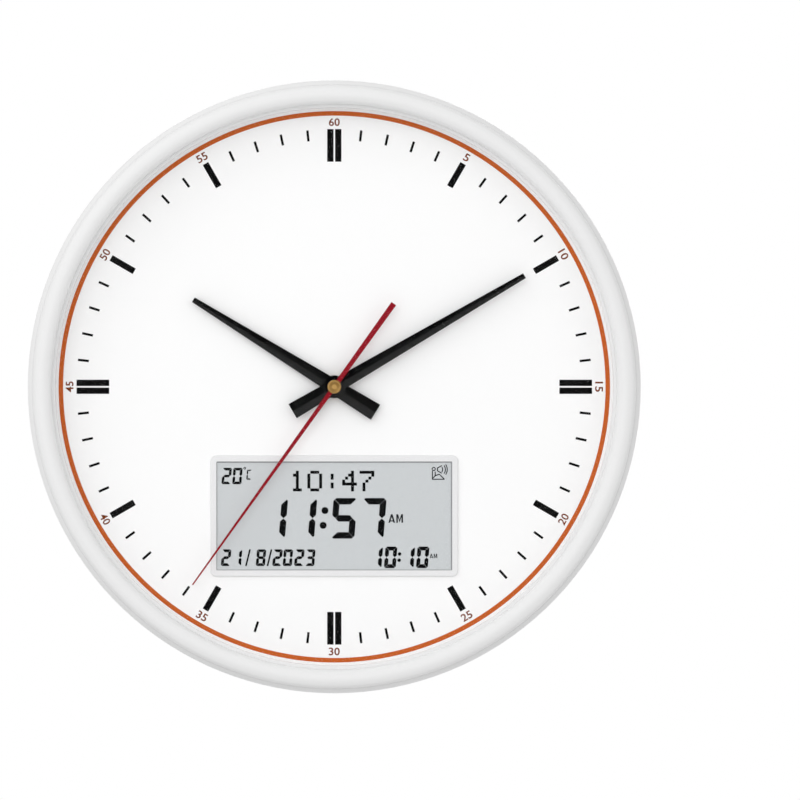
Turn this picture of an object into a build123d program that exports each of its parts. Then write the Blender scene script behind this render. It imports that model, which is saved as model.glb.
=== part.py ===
from build123d import *
from build123d.topology import SkipClean
import math
import os

os.makedirs("parts", exist_ok=True)

# Round wall clock: a moulded frame with a pane and dial, a quartz movement with three hands,
# and a digital module with a liquid crystal panel, speaker, buttons and its own cells.
#
# Modelling frame, in millimetres: x right, y up, z from the wall toward the viewer, with the
# hands' axis at x = y = 0. The saved parts have +Z up, their front along -Y, and the origin
# on the wall plane at the centre of the keyhole's entry.

# ---- case --------------------------------------------------------------------------------

OUTER_R = 165.0          # outermost radius of the frame
REAR_R = 160.8           # radius of the rear rim, where the frame meets the wall
DEPTH = 45.0             # wall to crest
SIDE_TOP_Z = 27.0        # where the side turns into the rounded rim
STEP_Z = 33.6            # foot of the steep step between rim and crest
CREST_R = 156.5          # middle of the broad, gently curved crest
CREST_HALF = 3.3
CREST_DROP = 1.0         # fall of the crest toward its sides
SHOULDER_W = 1.6         # radial width of the tighter rounding beside the crest
SHOULDER_H = 2.7
SECTORS = 12             # the frame is turned as this many equal sectors
LIP_R = 149.8            # inner edge of the lip in front of the pane
LIP_T = 1.5
GLASS_SEAT_Z = 35.0      # underside of the lip
GLASS_T = 2.0
SEAT_R = 152.8           # inside of the frame's inner ring wall
RING_WALL_R = 154.8      # outside of the inner ring wall
FIT = 0.4                # radial room of pane, spacer and dial inside the ring wall
SPACER_IN = 150.4

PLATE_Z0 = 19.3          # rear face of the back plate
PLATE_Z1 = 21.8          # front face of the back plate
PLATE_R = 159.5
RIB_T = 1.5
RIB_H = 3.0
RIM_RIB_R = 147.5        # ring rib that the straight ribs run into
LONG_RIB_START = 42.0
LONG_RIB_TURNS = (0.0, 30.0, 60.0, 120.0, 150.0, 180.0)
SHORT_RIBS = ((-20.0, 92.0), (-42.0, 120.0), (200.0, 92.0), (222.0, 120.0))
DIAL_T = 0.5
DIAL_Z1 = PLATE_Z1 + DIAL_T
CENTRE_HOLE_R = 4.2

SCREW_RING_R = 157.4     # pitch radius of the case screws
CASE_SCREWS = 8
HALF_STEP = 180.0 / CASE_SCREWS
BOSS_R = 3.0
BOSS_TOP_Z = 42.7
PILOT_R = 1.1
SHANK_R = 1.05
SHANK_CLEAR_R = 1.6
HEAD_R = 2.9
HEAD_T = 1.6
RECESS_W = 0.7           # arms of the cross recess
RECESS_DEPTH = 0.8
SHORT_TIP_Z = PLATE_Z1 - 0.2     # tip of a screw that ends in the back plate

# ---- keyhole strap -----------------------------------------------------------------------

HANG_Y = 118.0           # keyhole entry above the hands' axis
HANGER_T = 1.5
HANGER_WEB_X = 20.0
HANGER_FOOT_X = 32.0
HANGER_BEND = 1.5
HANGER_Y0 = 108.0
HANGER_Y1 = 138.0
KEY_ENTRY_R = 4.5
KEY_SLOT_W = 5.0
KEY_SLOT_RISE = 10.0
HANGER_SCREW_AT = [(x, y) for x in (-27.0, 27.0) for y in (114.0, 132.0)]

# ---- hands -------------------------------------------------------------------------------

HOUR_ANGLE = 301.7       # clockwise from twelve, at rest
MINUTE_ANGLE = 59.7
SECONDS_ANGLE = 215.6
HOUR_LENGTH = 89.2
HOUR_TAIL = 26.1
HOUR_WIDTHS = (9.6, 2.9)         # at the tail and at the tip
MINUTE_LENGTH = 118.5
MINUTE_TAIL = 26.0
MINUTE_WIDTHS = (8.8, 3.0)
SECONDS_LENGTH = 131.0
SECONDS_TAIL = 55.0
SECONDS_WIDTHS = (3.1, 0.75)
HUB_R = 6.2
HAND_T = 1.2
CREASE = 0.19            # depth of the crease for each unit of half width
NEEDLE_T = 0.4
HOUR_Z = 25.6
MINUTE_Z = 27.8
SECONDS_Z = 29.8
COLLAR_DROP = 0.3        # how far a hand's collar reaches behind it
CAP_R = 3.7
CAP_T = 1.7
CAP_DISH = (1.3, 2.9, 0.8)       # floor radius, mouth radius and depth of the dished face

# ---- movement case -----------------------------------------------------------------------

CASE_HALF = 28.0         # half the side of the square movement
CASE_Z0 = 3.0
CASE_Z1 = 18.3
CASE_WALL = 1.1
CASE_CORNER = 1.5
FACE_Z = CASE_Z1 - CASE_WALL     # inside of the face wall
COVER_FLOOR_Z = CASE_Z0 + 1.2    # inside of the cover's wall
SPLIT_Z = 10.5           # parting plane of the movement
BAY_TOP = -12.0          # the cell bay lies below this line
SPLIT_Y = BAY_TOP + CASE_WALL
ROOT = 0.5               # how far a post is rooted in the wall that carries it
BUSHING_R = 4.0
BUSHING_Z1 = 25.2
CLIP_X = (-18.0, 6.0)

# ---- wheel train -------------------------------------------------------------------------

WHEEL_CLEAR = 0.05       # radial running clearance
FIFTH_X = 7.92           # fifth wheel, beside the hands' axis
ROTOR_STEP = 6.16        # distance and direction from the fifth wheel to the rotor
ROTOR_TURN = -20.0
THIRD_STEP = 9.0         # distance and direction from the hands' axis to the third wheel
THIRD_TURN = 60.0
MINUTE_STEP = 8.0
SETTING_STEP = 10.0      # distance and direction from the minute wheel to the setting stem
SETTING_TURN = 140.0

ROTOR_X = FIFTH_X + ROTOR_STEP * math.cos(math.radians(ROTOR_TURN))
ROTOR_Y = ROTOR_STEP * math.sin(math.radians(ROTOR_TURN))
THIRD_X = THIRD_STEP * math.cos(math.radians(THIRD_TURN))
THIRD_Y = THIRD_STEP * math.sin(math.radians(THIRD_TURN))
MINUTE_X = -MINUTE_STEP
SETTING_X = MINUTE_X + SETTING_STEP * math.cos(math.radians(SETTING_TURN))
SETTING_Y = SETTING_STEP * math.sin(math.radians(SETTING_TURN))

ROTOR_LEAVES = 8
FIFTH_TEETH = 48
FIFTH_LEAVES = 12
SECONDS_TEETH = 60
SECONDS_LEAVES = 8
THIRD_TEETH = 60
THIRD_LEAVES = 8
CENTRE_TEETH = 64
CANNON_LEAVES = 12
MINUTE_TEETH = 36
MINUTE_LEAVES = 10
HOUR_TEETH = 40
SETTING_TEETH = 24

MOTOR_MODULE = 0.22      # rotor to fifth wheel, and fifth pinion to seconds wheel
THIRD_MODULE = 2 * THIRD_STEP / (SECONDS_LEAVES + THIRD_TEETH)
CENTRE_MODULE = 2 * THIRD_STEP / (THIRD_LEAVES + CENTRE_TEETH)
MINUTE_MODULE = 2 * MINUTE_STEP / (CANNON_LEAVES + MINUTE_TEETH)
HOUR_MODULE = 2 * MINUTE_STEP / (MINUTE_LEAVES + HOUR_TEETH)

WHEEL_T = 0.7
PINION_T = 1.2
PIVOT_Z = 4.7            # rear end of the arbors
POST_Z = 5.5             # front of the cover's bearing posts
ROTOR_PINION_Z = 5.6     # rear faces of the wheels and pinions, rear to front
FIFTH_WHEEL_Z = 5.8
FIFTH_PINION_Z = 7.2
SECONDS_WHEEL_Z = 7.4
SECONDS_PINION_Z = 9.2
THIRD_WHEEL_Z = 9.4
THIRD_PINION_Z = 11.2
CENTRE_WHEEL_Z = 11.4
CLUTCH_Z = 12.25
CANNON_PINION_Z = 13.6
MINUTE_WHEEL_Z = 13.8
MINUTE_PINION_Z = 15.4
HOUR_WHEEL_Z = 15.6

ARBOR_R = 0.4
HUB_ARBOR_R = 0.9        # thicker stretch of an arbor that carries wheel and pinion
SHAFT_R = 0.5            # seconds shaft
CANNON_R = 1.5           # minute pipe
HOUR_PIPE_R = 2.5
STUD_R = 0.6             # fixed stud of the fifth wheel
MINUTE_STUD_R = 0.8
STEM_R = 1.5             # setting stem
STEM_TIP_R = 0.8
HOUR_PIPE_Z1 = 26.7
CANNON_Z1 = 28.9
SHAFT_Z1 = 30.7

KNOB_R = 5.0
KNOB_Z0 = 1.0
KNOB_Z1 = 2.7
KNOB_NOTCHES = 16

# ---- motor, driver board and cell of the movement ----------------------------------------

MAGNET_R = 2.6
MAGNET_Z0 = 8.2
MAGNET_Z1 = 10.8
STATOR_Z0 = 8.8
STATOR_Z1 = 10.2
STATOR_HOLE_R = 3.0
STATOR_RING_R = 4.4
CORE_X = 22.5
CORE_HALF = 1.1
CORE_Z = (STATOR_Z0 + STATOR_Z1) / 2
YOKE_LOW = (-7.6, -5.0)          # the stator's two arms, as limits in y
YOKE_HIGH = (14.9, 17.4)
YOKE_LIMB = (13.7, 17.2)         # the limb between rotor and upper arm, as limits in x
COIL_Y0 = -1.6
COIL_Y1 = 13.2
COIL_R = 3.4
BOBBIN_R = 1.9
FLANGE_HALF = 3.7
FLANGE_T = 0.8

BOARD_Z0 = 12.0
BOARD_Z1 = 13.0
BOARD_PEG_AT = [(-22.0, 22.5), (8.0, 22.5)]
PEG_R = 1.6

CELL_R = 7.0
CELL_LENGTH = 49.0
NUB_R = 2.7
NUB_LENGTH = 1.5
MOVE_CELL_X = -24.6
MOVE_CELL_Y = -19.5
MOVE_CELL_Z = 10.1
CONTACT_T = 0.3
CONTACT_HALF = 5.0
TONGUE = 4.2             # length of the sprung tongue

# ---- digital window and panel ------------------------------------------------------------

LCD_Y = -69.6            # centre of the digital window
WINDOW_W = 133.5         # raised window frame, outside
WINDOW_H = 65.4
WINDOW_RISE = 1.7
SKIRT_W = 130.8
SKIRT_H = 62.7
VIEW_W = 127.1           # visible panel
VIEW_H = 58.7
CUT_W = 131.4            # cut-out in dial and back plate
CUT_H = 63.3
PANEL_W = 128.2
PANEL_H = 59.8
PANEL_REAR_H = 56.0      # the rear pane is shorter and leaves two contact ledges
PANEL_Z1 = DIAL_Z1 + 0.5
PANEL_SPLIT_Z = 21.7     # front of the rear pane
PANEL_Z0 = 20.6
GUIDE_W = 127.2
GUIDE_H = 52.4
GUIDE_Z0 = 18.4

# ---- digital module ----------------------------------------------------------------------

PCB_Z0 = 15.4
PCB_Z1 = 17.0
PCB_X = 72.5
PCB_Y = (-102.0, -34.0)
PCB_POST_AT = [(x, y) for x in (-69.3, 69.3) for y in (-39.0, -98.0)]
PCB_POST_R = 2.6
PCB_SCREW_R = 0.75
PCB_PILOT_R = 0.8

HOUSE_X = 75.0           # housing, half width
HOUSE_TOP = -30.0
HOUSE_BOTTOM = -121.0
HOUSE_WALL = 1.8
HOUSE_Z0 = 3.0
HOUSE_Z1 = PLATE_Z0
HOUSE_FLOOR = HOUSE_Z0 + HOUSE_WALL
EAR_R = 4.5
EAR_Z = 16.3
MODULE_SCREW_AT = [(x, y) for x in (-79.5, 79.5) for y in (-45.0, -105.0)]

BUTTON_X = (-60.0, -44.0, -28.0)
BUTTON_Y = (-52.0, -70.0)
BUTTON_R = 4.5
BUTTON_GAP = 0.08
BUTTON_Z0 = 1.7
BUTTON_FLANGE_R = 5.4
SWITCH_HALF = 3.0
SWITCH_Z0 = 11.9

SLIDE_X = -44.0
SLIDE_Y = -88.0
SLIDE_TRAVEL = 1.5
SLIDE_STEM_X = 1.2       # half width of the knob's stem
SLIDE_STEM_Y = 1.1

SPEAKER_X = 44.0
SPEAKER_Y = -66.0
GRILLE_R = 17.5
GRILLE_PITCH = 4.0
GRILLE_SLOT = 1.8
LEAD_R = 0.6
LEAD_X = 18.0            # where the speaker's leads leave the board
LEAD_OFFSET = 6.0        # leads above and below the speaker's middle
LEAD_Z = 12.4
LUG_X = 28.2             # solder lugs on the speaker's basket
LUG_Z = 9.2

CELL_BAY_Y0 = -119.4
CELL_BAY_Y1 = -104.2
CELL_BAY_X = 52.3
BAY_WALL = 1.2
MODULE_CELL_Y = -111.8
MODULE_CELL_Z = 11.7
MODULE_CELLS_X = (-50.0, 0.7)
DOOR_X = 55.5
DOOR_TOP = -103.0
DOOR_GAP = 0.2
DOOR_Z1 = 4.4
DOOR_RIM_X = 57.5        # ledges that the door slides on
TONGUE_W = 1.2           # groove for the door's side tongues
GROOVE_Z0 = 3.5
GROOVE_Z1 = 4.2


# ---- small helpers -----------------------------------------------------------------------

def rod(radius, z_low, z_high, x=0.0, y=0.0):
    """Cylinder along z between two heights."""
    low = (Align.CENTER, Align.CENTER, Align.MIN)
    return Pos(x, y, z_low) * Cylinder(radius, z_high - z_low, align=low)


def tube(outer, inner, z_low, z_high, x=0.0, y=0.0):
    """Hollow cylinder along z."""
    return rod(outer, z_low, z_high, x, y) - rod(inner, z_low - 1.0, z_high + 1.0, x, y)


def along_x(radius, x_low, x_high, y, z):
    """Cylinder along x."""
    low = (Align.CENTER, Align.CENTER, Align.MIN)
    return Pos(x_low, y, z) * Rot(0, 90, 0) * Cylinder(radius, x_high - x_low, align=low)


def along_y(radius, y_low, y_high, x, z):
    """Cylinder along y."""
    low = (Align.CENTER, Align.CENTER, Align.MIN)
    return Pos(x, y_low, z) * Rot(-90, 0, 0) * Cylinder(radius, y_high - y_low, align=low)


def block(x_low, x_high, y_low, y_high, z_low, z_high):
    """Box between limits."""
    centre = Pos((x_low + x_high) / 2, (y_low + y_high) / 2, (z_low + z_high) / 2)
    return centre * Box(x_high - x_low, y_high - y_low, z_high - z_low)


def plate(width, height, corner, z_low, z_high, x=0.0, y=0.0):
    """Plate with rounded corners."""
    return extrude(Pos(x, y, z_low) * RectangleRounded(width, height, corner), z_high - z_low)


def turned(*edges):
    """Solid of revolution about z, joined from equal sectors whose seams stay, so that its
    facets line up from ring to ring; the section is drawn as radius against z."""
    section = Plane.XZ * make_face(Curve() + list(edges))
    sector = revolve(section, Axis.Z, 360.0 / SECTORS)
    with SkipClean():
        return sector + around(sector, SECTORS)[1:]


def polar(radius, degrees):
    """Point at an angle counted anticlockwise from x."""
    turn = math.radians(degrees)
    return radius * math.cos(turn), radius * math.sin(turn)


def around(shape, count, start=0.0):
    """Copies of a shape spaced evenly about z."""
    return [Rot(0, 0, start + 360.0 * k / count) * shape for k in range(count)]


def rear_edges(shape):
    """Edges of a shape's rearmost flat."""
    return shape.edges().group_by(Axis.Z)[0]


def save(name, *shapes):
    """Move the shapes to the saved frame and write them as one file."""
    solids = []
    for shape in shapes:
        placed = Pos(0, 0, -HANG_Y) * Rot(90, 0, 0) * shape
        solids.extend(placed.solids())
    whole = solids[0] if len(solids) == 1 else Compound(solids)
    whole.label = name
    export_step(whole, f"parts/{name}.step")


# ---- case --------------------------------------------------------------------------------

def shoulder(side):
    """Start, middle and end of the rounding beside the crest; side is -1 inside and 1 outside."""
    r = CREST_R + side * CREST_HALF
    z = DEPTH - CREST_DROP
    middle = (r + side * 0.69 * SHOULDER_W, z - 0.44 * SHOULDER_H)
    return (r, z), middle, (r + side * SHOULDER_W, z - SHOULDER_H)


def bezel_frame():
    """Hollow moulded frame: lip, steep inner wall, broad crest, step and rim, open to the rear."""
    foot = (REAR_R, 0.0)
    side_top = (OUTER_R, SIDE_TOP_Z)
    rim_in = (162.5, STEP_Z - 0.4)
    step_low = (162.0, STEP_Z)
    out_start, out_middle, out_end = shoulder(1)
    in_start, in_middle, in_end = shoulder(-1)
    lip_front = GLASS_SEAT_Z + LIP_T
    skin = turned(
        ThreePointArc(foot, (163.88, 13.0), side_top),
        ThreePointArc(side_top, (164.05, 31.0), rim_in),
        Polyline(rim_in, step_low, out_end),
        ThreePointArc(out_end, out_middle, out_start),
        ThreePointArc(out_start, (CREST_R, DEPTH), in_start),
        ThreePointArc(in_start, in_middle, in_end),
        Polyline(
            in_end, (151.4, lip_front), (LIP_R, lip_front), (LIP_R, GLASS_SEAT_Z),
            (SEAT_R, GLASS_SEAT_Z), (SEAT_R, PLATE_Z1), (RING_WALL_R, PLATE_Z1),
            (RING_WALL_R, 40.5), (155.6, 42.6), (158.2, 42.4), (159.3, 41.0), (159.5, 34.0),
            (162.3, 29.0), (162.3, 18.0), (158.3, 0.0), foot,
        ),
    )
    boss = rod(BOSS_R, PLATE_Z1, BOSS_TOP_Z, SCREW_RING_R, 0.0)
    rib = block(RING_WALL_R - ROOT, 160.4, -RIB_T / 2, RIB_T / 2, 25.0, BOSS_TOP_Z)
    pilot = rod(PILOT_R, PLATE_Z1 - 1.0, 31.0, SCREW_RING_R, 0.0)
    with SkipClean():
        frame = skin + around(boss, CASE_SCREWS, HALF_STEP) + around(rib, CASE_SCREWS)
        return frame - around(pilot, CASE_SCREWS, HALF_STEP)


def front_glass():
    """Flat round pane with a fine ground edge."""
    pane = rod(SEAT_R - FIT, GLASS_SEAT_Z - GLASS_T, GLASS_SEAT_Z)
    return chamfer(pane.edges(), 0.3)


def spacer_ring():
    """Ring that holds the pane off the dial."""
    return tube(SEAT_R - FIT, SPACER_IN, DIAL_Z1, GLASS_SEAT_Z - GLASS_T)


def dial():
    """Round sheet with the digital window and the centre hole."""
    sheet = rod(SEAT_R - FIT, PLATE_Z1, DIAL_Z1)
    window = plate(CUT_W, CUT_H, 2.0, PLATE_Z1 - 1.0, DIAL_Z1 + 1.0, 0.0, LCD_Y)
    return sheet - window - rod(CENTRE_HOLE_R, PLATE_Z1 - 1.0, DIAL_Z1 + 1.0)


def back_plate():
    """Round moulded plate with ribs behind and standoffs for the module's board."""
    body = rod(PLATE_R, PLATE_Z0, PLATE_Z1)
    low = PLATE_Z0 - RIB_H
    high = PLATE_Z0 + ROOT
    ribs = [tube(RIM_RIB_R, RIM_RIB_R - RIB_T, low, high)]
    for turn, start in [(turn, LONG_RIB_START) for turn in LONG_RIB_TURNS] + list(SHORT_RIBS):
        ribs.append(Rot(0, 0, turn) * block(start, RIM_RIB_R - 1.0, -RIB_T / 2, RIB_T / 2, low, high))
    posts = [rod(PCB_POST_R, PCB_Z1, high, x, y) for x, y in PCB_POST_AT]
    window = plate(CUT_W, CUT_H, 2.0, PLATE_Z0 - 1.0, PLATE_Z1 + 1.0, 0.0, LCD_Y)
    hole = rod(SHANK_CLEAR_R, PLATE_Z0 - 1.0, PLATE_Z1 + 1.0, SCREW_RING_R, 0.0)
    holes = [window, rod(CENTRE_HOLE_R, PLATE_Z0 - 1.0, PLATE_Z1 + 1.0)]
    holes.extend(around(hole, CASE_SCREWS, HALF_STEP))
    for x, y in HANGER_SCREW_AT + MODULE_SCREW_AT:
        holes.append(rod(PILOT_R, PLATE_Z0 - 1.0, PLATE_Z1 + 1.0, x, y))
    for x, y in PCB_POST_AT:
        holes.append(rod(PCB_PILOT_R, PCB_Z1 - 1.0, PLATE_Z0 + 1.5, x, y))
    return (body + ribs + posts) - holes


def screw(x, y, seat_z, tip_z, head_r=HEAD_R, shank_r=SHANK_R):
    """Pan-head screw driven from the rear, with a cross recess."""
    rear_z = seat_z - HEAD_T
    head = chamfer(rear_edges(rod(head_r, rear_z, seat_z)), 0.5)
    reach = 0.6 * head_r
    arm = block(-reach, reach, -RECESS_W / 2, RECESS_W / 2, rear_z - 1.0, rear_z + RECESS_DEPTH)
    body = head + rod(shank_r, seat_z - 0.2, tip_z) - arm - Rot(0, 0, 90) * arm
    return Pos(x, y, 0) * body


def case_screws():
    """Eight screws from the back plate into the frame's bosses."""
    return around(screw(SCREW_RING_R, 0.0, PLATE_Z0, 29.0), CASE_SCREWS, HALF_STEP)


def hanger_bracket():
    """Bent steel strap standing off the back plate, with a keyhole in its web."""
    foot_z = PLATE_Z0 - HANGER_T / 2
    web_z = HANGER_T / 2
    bend = FilletPolyline(
        (-HANGER_FOOT_X, foot_z), (-HANGER_WEB_X, foot_z), (-HANGER_WEB_X, web_z),
        (HANGER_WEB_X, web_z), (HANGER_WEB_X, foot_z), (HANGER_FOOT_X, foot_z),
        radius=HANGER_BEND,
    )
    section = Plane.XZ * trace(bend, HANGER_T)
    strap = Pos(0, HANGER_Y1, 0) * extrude(section, HANGER_Y1 - HANGER_Y0)
    behind = -1.0
    front = HANGER_T + 1.0
    slot_top = HANG_Y + KEY_SLOT_RISE
    slot = block(-KEY_SLOT_W / 2, KEY_SLOT_W / 2, HANG_Y, slot_top, behind, front)
    slot += rod(KEY_SLOT_W / 2, behind, front, 0.0, slot_top)
    holes = [rod(KEY_ENTRY_R, behind, front, 0.0, HANG_Y), slot]
    for x, y in HANGER_SCREW_AT:
        holes.append(rod(SHANK_CLEAR_R, PLATE_Z0 - 3.0, PLATE_Z0 + 1.0, x, y))
    return strap - holes


def hanger_screws():
    """Four screws through the strap's feet."""
    return [screw(x, y, PLATE_Z0 - HANGER_T, SHORT_TIP_Z) for x, y in HANGER_SCREW_AT]


# ---- gear teeth --------------------------------------------------------------------------

def toothed(teeth, module, tooth_at, z_low, thick, add, dip, root_share):
    """Straight-flanked gear with one tooth centred at the angle tooth_at; add and dip are the
    tooth's reach beyond and below the pitch circle, in modules."""
    tip_share = 0.08
    pitch_r = module * teeth / 2
    pitch = 360.0 / teeth
    corners = []
    for k in range(teeth):
        middle = tooth_at + k * pitch
        corners.append(polar(pitch_r - dip * module, middle - root_share * pitch))
        corners.append(polar(pitch_r + add * module, middle - tip_share * pitch))
        corners.append(polar(pitch_r + add * module, middle + tip_share * pitch))
        corners.append(polar(pitch_r - dip * module, middle + root_share * pitch))
    outline = make_face(Polyline(*corners, close=True))
    return Pos(0, 0, z_low) * extrude(outline, thick)


def wheel_at(teeth, module, toward, z_low, thick=WHEEL_T):
    """Wheel with a tooth pointing along the line of centres."""
    return toothed(teeth, module, toward, z_low, thick, 0.8, 1.1, 0.30)


def pinion_at(leaves, module, toward, z_low, thick=PINION_T):
    """Pinion with a gap pointing along the line of centres."""
    return toothed(leaves, module, toward + 180.0 / leaves, z_low, thick, 0.7, 1.2, 0.26)


def spokes(outer, inner, z_low, thick=WHEEL_T):
    """Five round lightening holes set between hub and rim."""
    hole = rod((outer - inner) / 2, z_low - 0.5, z_low + thick + 0.5, (outer + inner) / 2, 0.0)
    return around(hole, 5, 20.0)


def rotor():
    """Magnet and eight-leaf pinion on a stepped arbor."""
    body = pinion_at(ROTOR_LEAVES, MOTOR_MODULE, 180.0 + ROTOR_TURN, ROTOR_PINION_Z)
    body += rod(ARBOR_R, PIVOT_Z, 12.2) + rod(SHAFT_R, ROTOR_PINION_Z + PINION_T, 11.2)
    return Pos(ROTOR_X, ROTOR_Y, 0) * (body + rod(MAGNET_R, MAGNET_Z0, MAGNET_Z1))


def fifth_wheel():
    """First reduction: turns on a stud of the cover."""
    body = wheel_at(FIFTH_TEETH, MOTOR_MODULE, ROTOR_TURN, FIFTH_WHEEL_Z)
    body += rod(1.0, FIFTH_WHEEL_Z + 0.6, FIFTH_PINION_Z + 0.1)
    body += pinion_at(FIFTH_LEAVES, MOTOR_MODULE, 180.0, FIFTH_PINION_Z, 1.1)
    body -= spokes(4.2, 1.9, FIFTH_WHEEL_Z)
    return Pos(FIFTH_X, 0, 0) * (body - rod(STUD_R + WHEEL_CLEAR, 5.0, 9.0))


def seconds_wheel():
    """Wheel, pinion and the long shaft that carries the seconds hand."""
    body = wheel_at(SECONDS_TEETH, MOTOR_MODULE, 0.0, SECONDS_WHEEL_Z)
    body -= spokes(5.6, 1.8, SECONDS_WHEEL_Z)
    body += pinion_at(SECONDS_LEAVES, THIRD_MODULE, THIRD_TURN, SECONDS_PINION_Z)
    body += rod(HUB_ARBOR_R, SECONDS_WHEEL_Z - 0.2, SECONDS_PINION_Z + 0.1)
    return body + rod(SHAFT_R, PIVOT_Z, SHAFT_Z1)


def third_wheel():
    """Wheel and pinion between seconds arbor and centre wheel."""
    toward = 180.0 + THIRD_TURN
    body = wheel_at(THIRD_TEETH, THIRD_MODULE, toward, THIRD_WHEEL_Z)
    body -= spokes(6.6, 2.2, THIRD_WHEEL_Z)
    body += pinion_at(THIRD_LEAVES, CENTRE_MODULE, toward, THIRD_PINION_Z)
    body += rod(HUB_ARBOR_R, THIRD_WHEEL_Z - 0.1, THIRD_PINION_Z)
    body += rod(ARBOR_R, PIVOT_Z, 16.6) + rod(STUD_R, THIRD_WHEEL_Z - 0.4, 15.4)
    return Pos(THIRD_X, THIRD_Y, 0) * body


def centre_wheel():
    """Wheel that drives the cannon pinion through a friction spring."""
    thick = 0.8
    body = wheel_at(CENTRE_TEETH, CENTRE_MODULE, THIRD_TURN, CENTRE_WHEEL_Z, thick)
    body -= spokes(6.8, 3.0, CENTRE_WHEEL_Z, thick)
    return body - rod(CANNON_R + WHEEL_CLEAR, CENTRE_WHEEL_Z - 1.0, CENTRE_WHEEL_Z + 2.0)


def clutch_spring():
    """Three-armed friction spring pressed on the cannon pinion."""
    arm = block(1.2, 5.4, -0.6, 0.6, CLUTCH_Z, CLUTCH_Z + 0.3)
    hub = rod(2.3, CLUTCH_Z, CLUTCH_Z + 0.7)
    return hub + around(arm, 3, 30.0) - rod(CANNON_R, CLUTCH_Z - 1.0, CLUTCH_Z + 1.0)


def cannon_pinion():
    """Twelve-leaf pinion with the pipe that carries the minute hand."""
    body = pinion_at(CANNON_LEAVES, MINUTE_MODULE, 180.0, CANNON_PINION_Z, 1.4)
    body += rod(CANNON_R, 11.0, CANNON_Z1)
    return body - rod(SHAFT_R + WHEEL_CLEAR, 10.0, CANNON_Z1 + 1.0)


def minute_wheel():
    """Motion-work wheel and pinion on a stud of the base."""
    body = wheel_at(MINUTE_TEETH, MINUTE_MODULE, 0.0, MINUTE_WHEEL_Z, 1.0)
    body += rod(1.3, MINUTE_WHEEL_Z + 0.9, MINUTE_PINION_Z + 0.1)
    body += pinion_at(MINUTE_LEAVES, HOUR_MODULE, 0.0, MINUTE_PINION_Z, 1.4)
    return Pos(MINUTE_X, 0, 0) * (body - rod(MINUTE_STUD_R + WHEEL_CLEAR, 13.0, 17.5))


def hour_wheel():
    """Forty-tooth wheel with the pipe that carries the hour hand."""
    body = wheel_at(HOUR_TEETH, HOUR_MODULE, 180.0, HOUR_WHEEL_Z, 1.0)
    body += rod(HOUR_PIPE_R, HOUR_WHEEL_Z, HOUR_PIPE_Z1)
    return body - rod(CANNON_R + WHEEL_CLEAR, HOUR_WHEEL_Z - 1.0, HOUR_PIPE_Z1 + 1.0)


def setting_knob():
    """Notched thumb wheel at the rear whose stem drives the minute wheel."""
    knob = chamfer(rear_edges(rod(KNOB_R, KNOB_Z0, KNOB_Z1)), 0.4)
    notch = rod(0.7, KNOB_Z0 - 1.0, KNOB_Z1 + 0.3, KNOB_R + 0.2, 0.0)
    knob -= around(notch, KNOB_NOTCHES)
    wheel = pinion_at(SETTING_TEETH, MINUTE_MODULE, 180.0 + SETTING_TURN, MINUTE_WHEEL_Z, 1.0)
    body = knob + wheel + rod(STEM_R, KNOB_Z1 - 0.1, MINUTE_WHEEL_Z + 0.1)
    body += rod(STEM_TIP_R, MINUTE_WHEEL_Z + 0.9, 16.8)
    return Pos(SETTING_X, SETTING_Y, 0) * body


# ---- movement ----------------------------------------------------------------------------

def movement_base():
    """Front half: face wall, threaded bushing, cell bay and bearing posts."""
    half = CASE_HALF
    inner = half - CASE_WALL
    shell = block(-half, half, -half, half, SPLIT_Z, CASE_Z1)
    shell += block(-half, half, -half, SPLIT_Y, CASE_Z0, SPLIT_Z + 0.5)
    shell = fillet(shell.edges().filter_by(Axis.Z), CASE_CORNER)
    shell -= block(-inner, inner, SPLIT_Y, inner, SPLIT_Z - 1.0, FACE_Z)
    shell -= block(-inner, inner, -inner, BAY_TOP, CASE_Z0 - 1.0, FACE_Z)
    root_z = FACE_Z + ROOT
    posts = [
        rod(BUSHING_R, FACE_Z, BUSHING_Z1),
        rod(MINUTE_STUD_R, 13.3, root_z, MINUTE_X, 0.0),
        rod(1.4, 15.6, root_z, THIRD_X, THIRD_Y),
        rod(1.4, 11.6, root_z, ROTOR_X, ROTOR_Y),
        rod(1.8, 15.2, root_z, SETTING_X, SETTING_Y),
    ]
    for x, y in BOARD_PEG_AT:
        posts.append(rod(PEG_R, BOARD_Z1, root_z, x, y))
    bores = [
        rod(HOUR_PIPE_R + WHEEL_CLEAR, 16.0, BUSHING_Z1 + 1.8),
        rod(ARBOR_R + WHEEL_CLEAR, 15.0, 17.0, THIRD_X, THIRD_Y),
        rod(ARBOR_R + WHEEL_CLEAR, 11.0, 12.6, ROTOR_X, ROTOR_Y),
        rod(STEM_TIP_R + WHEEL_CLEAR, 15.0, FACE_Z, SETTING_X, SETTING_Y),
    ]
    return (shell + posts) - bores


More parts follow.
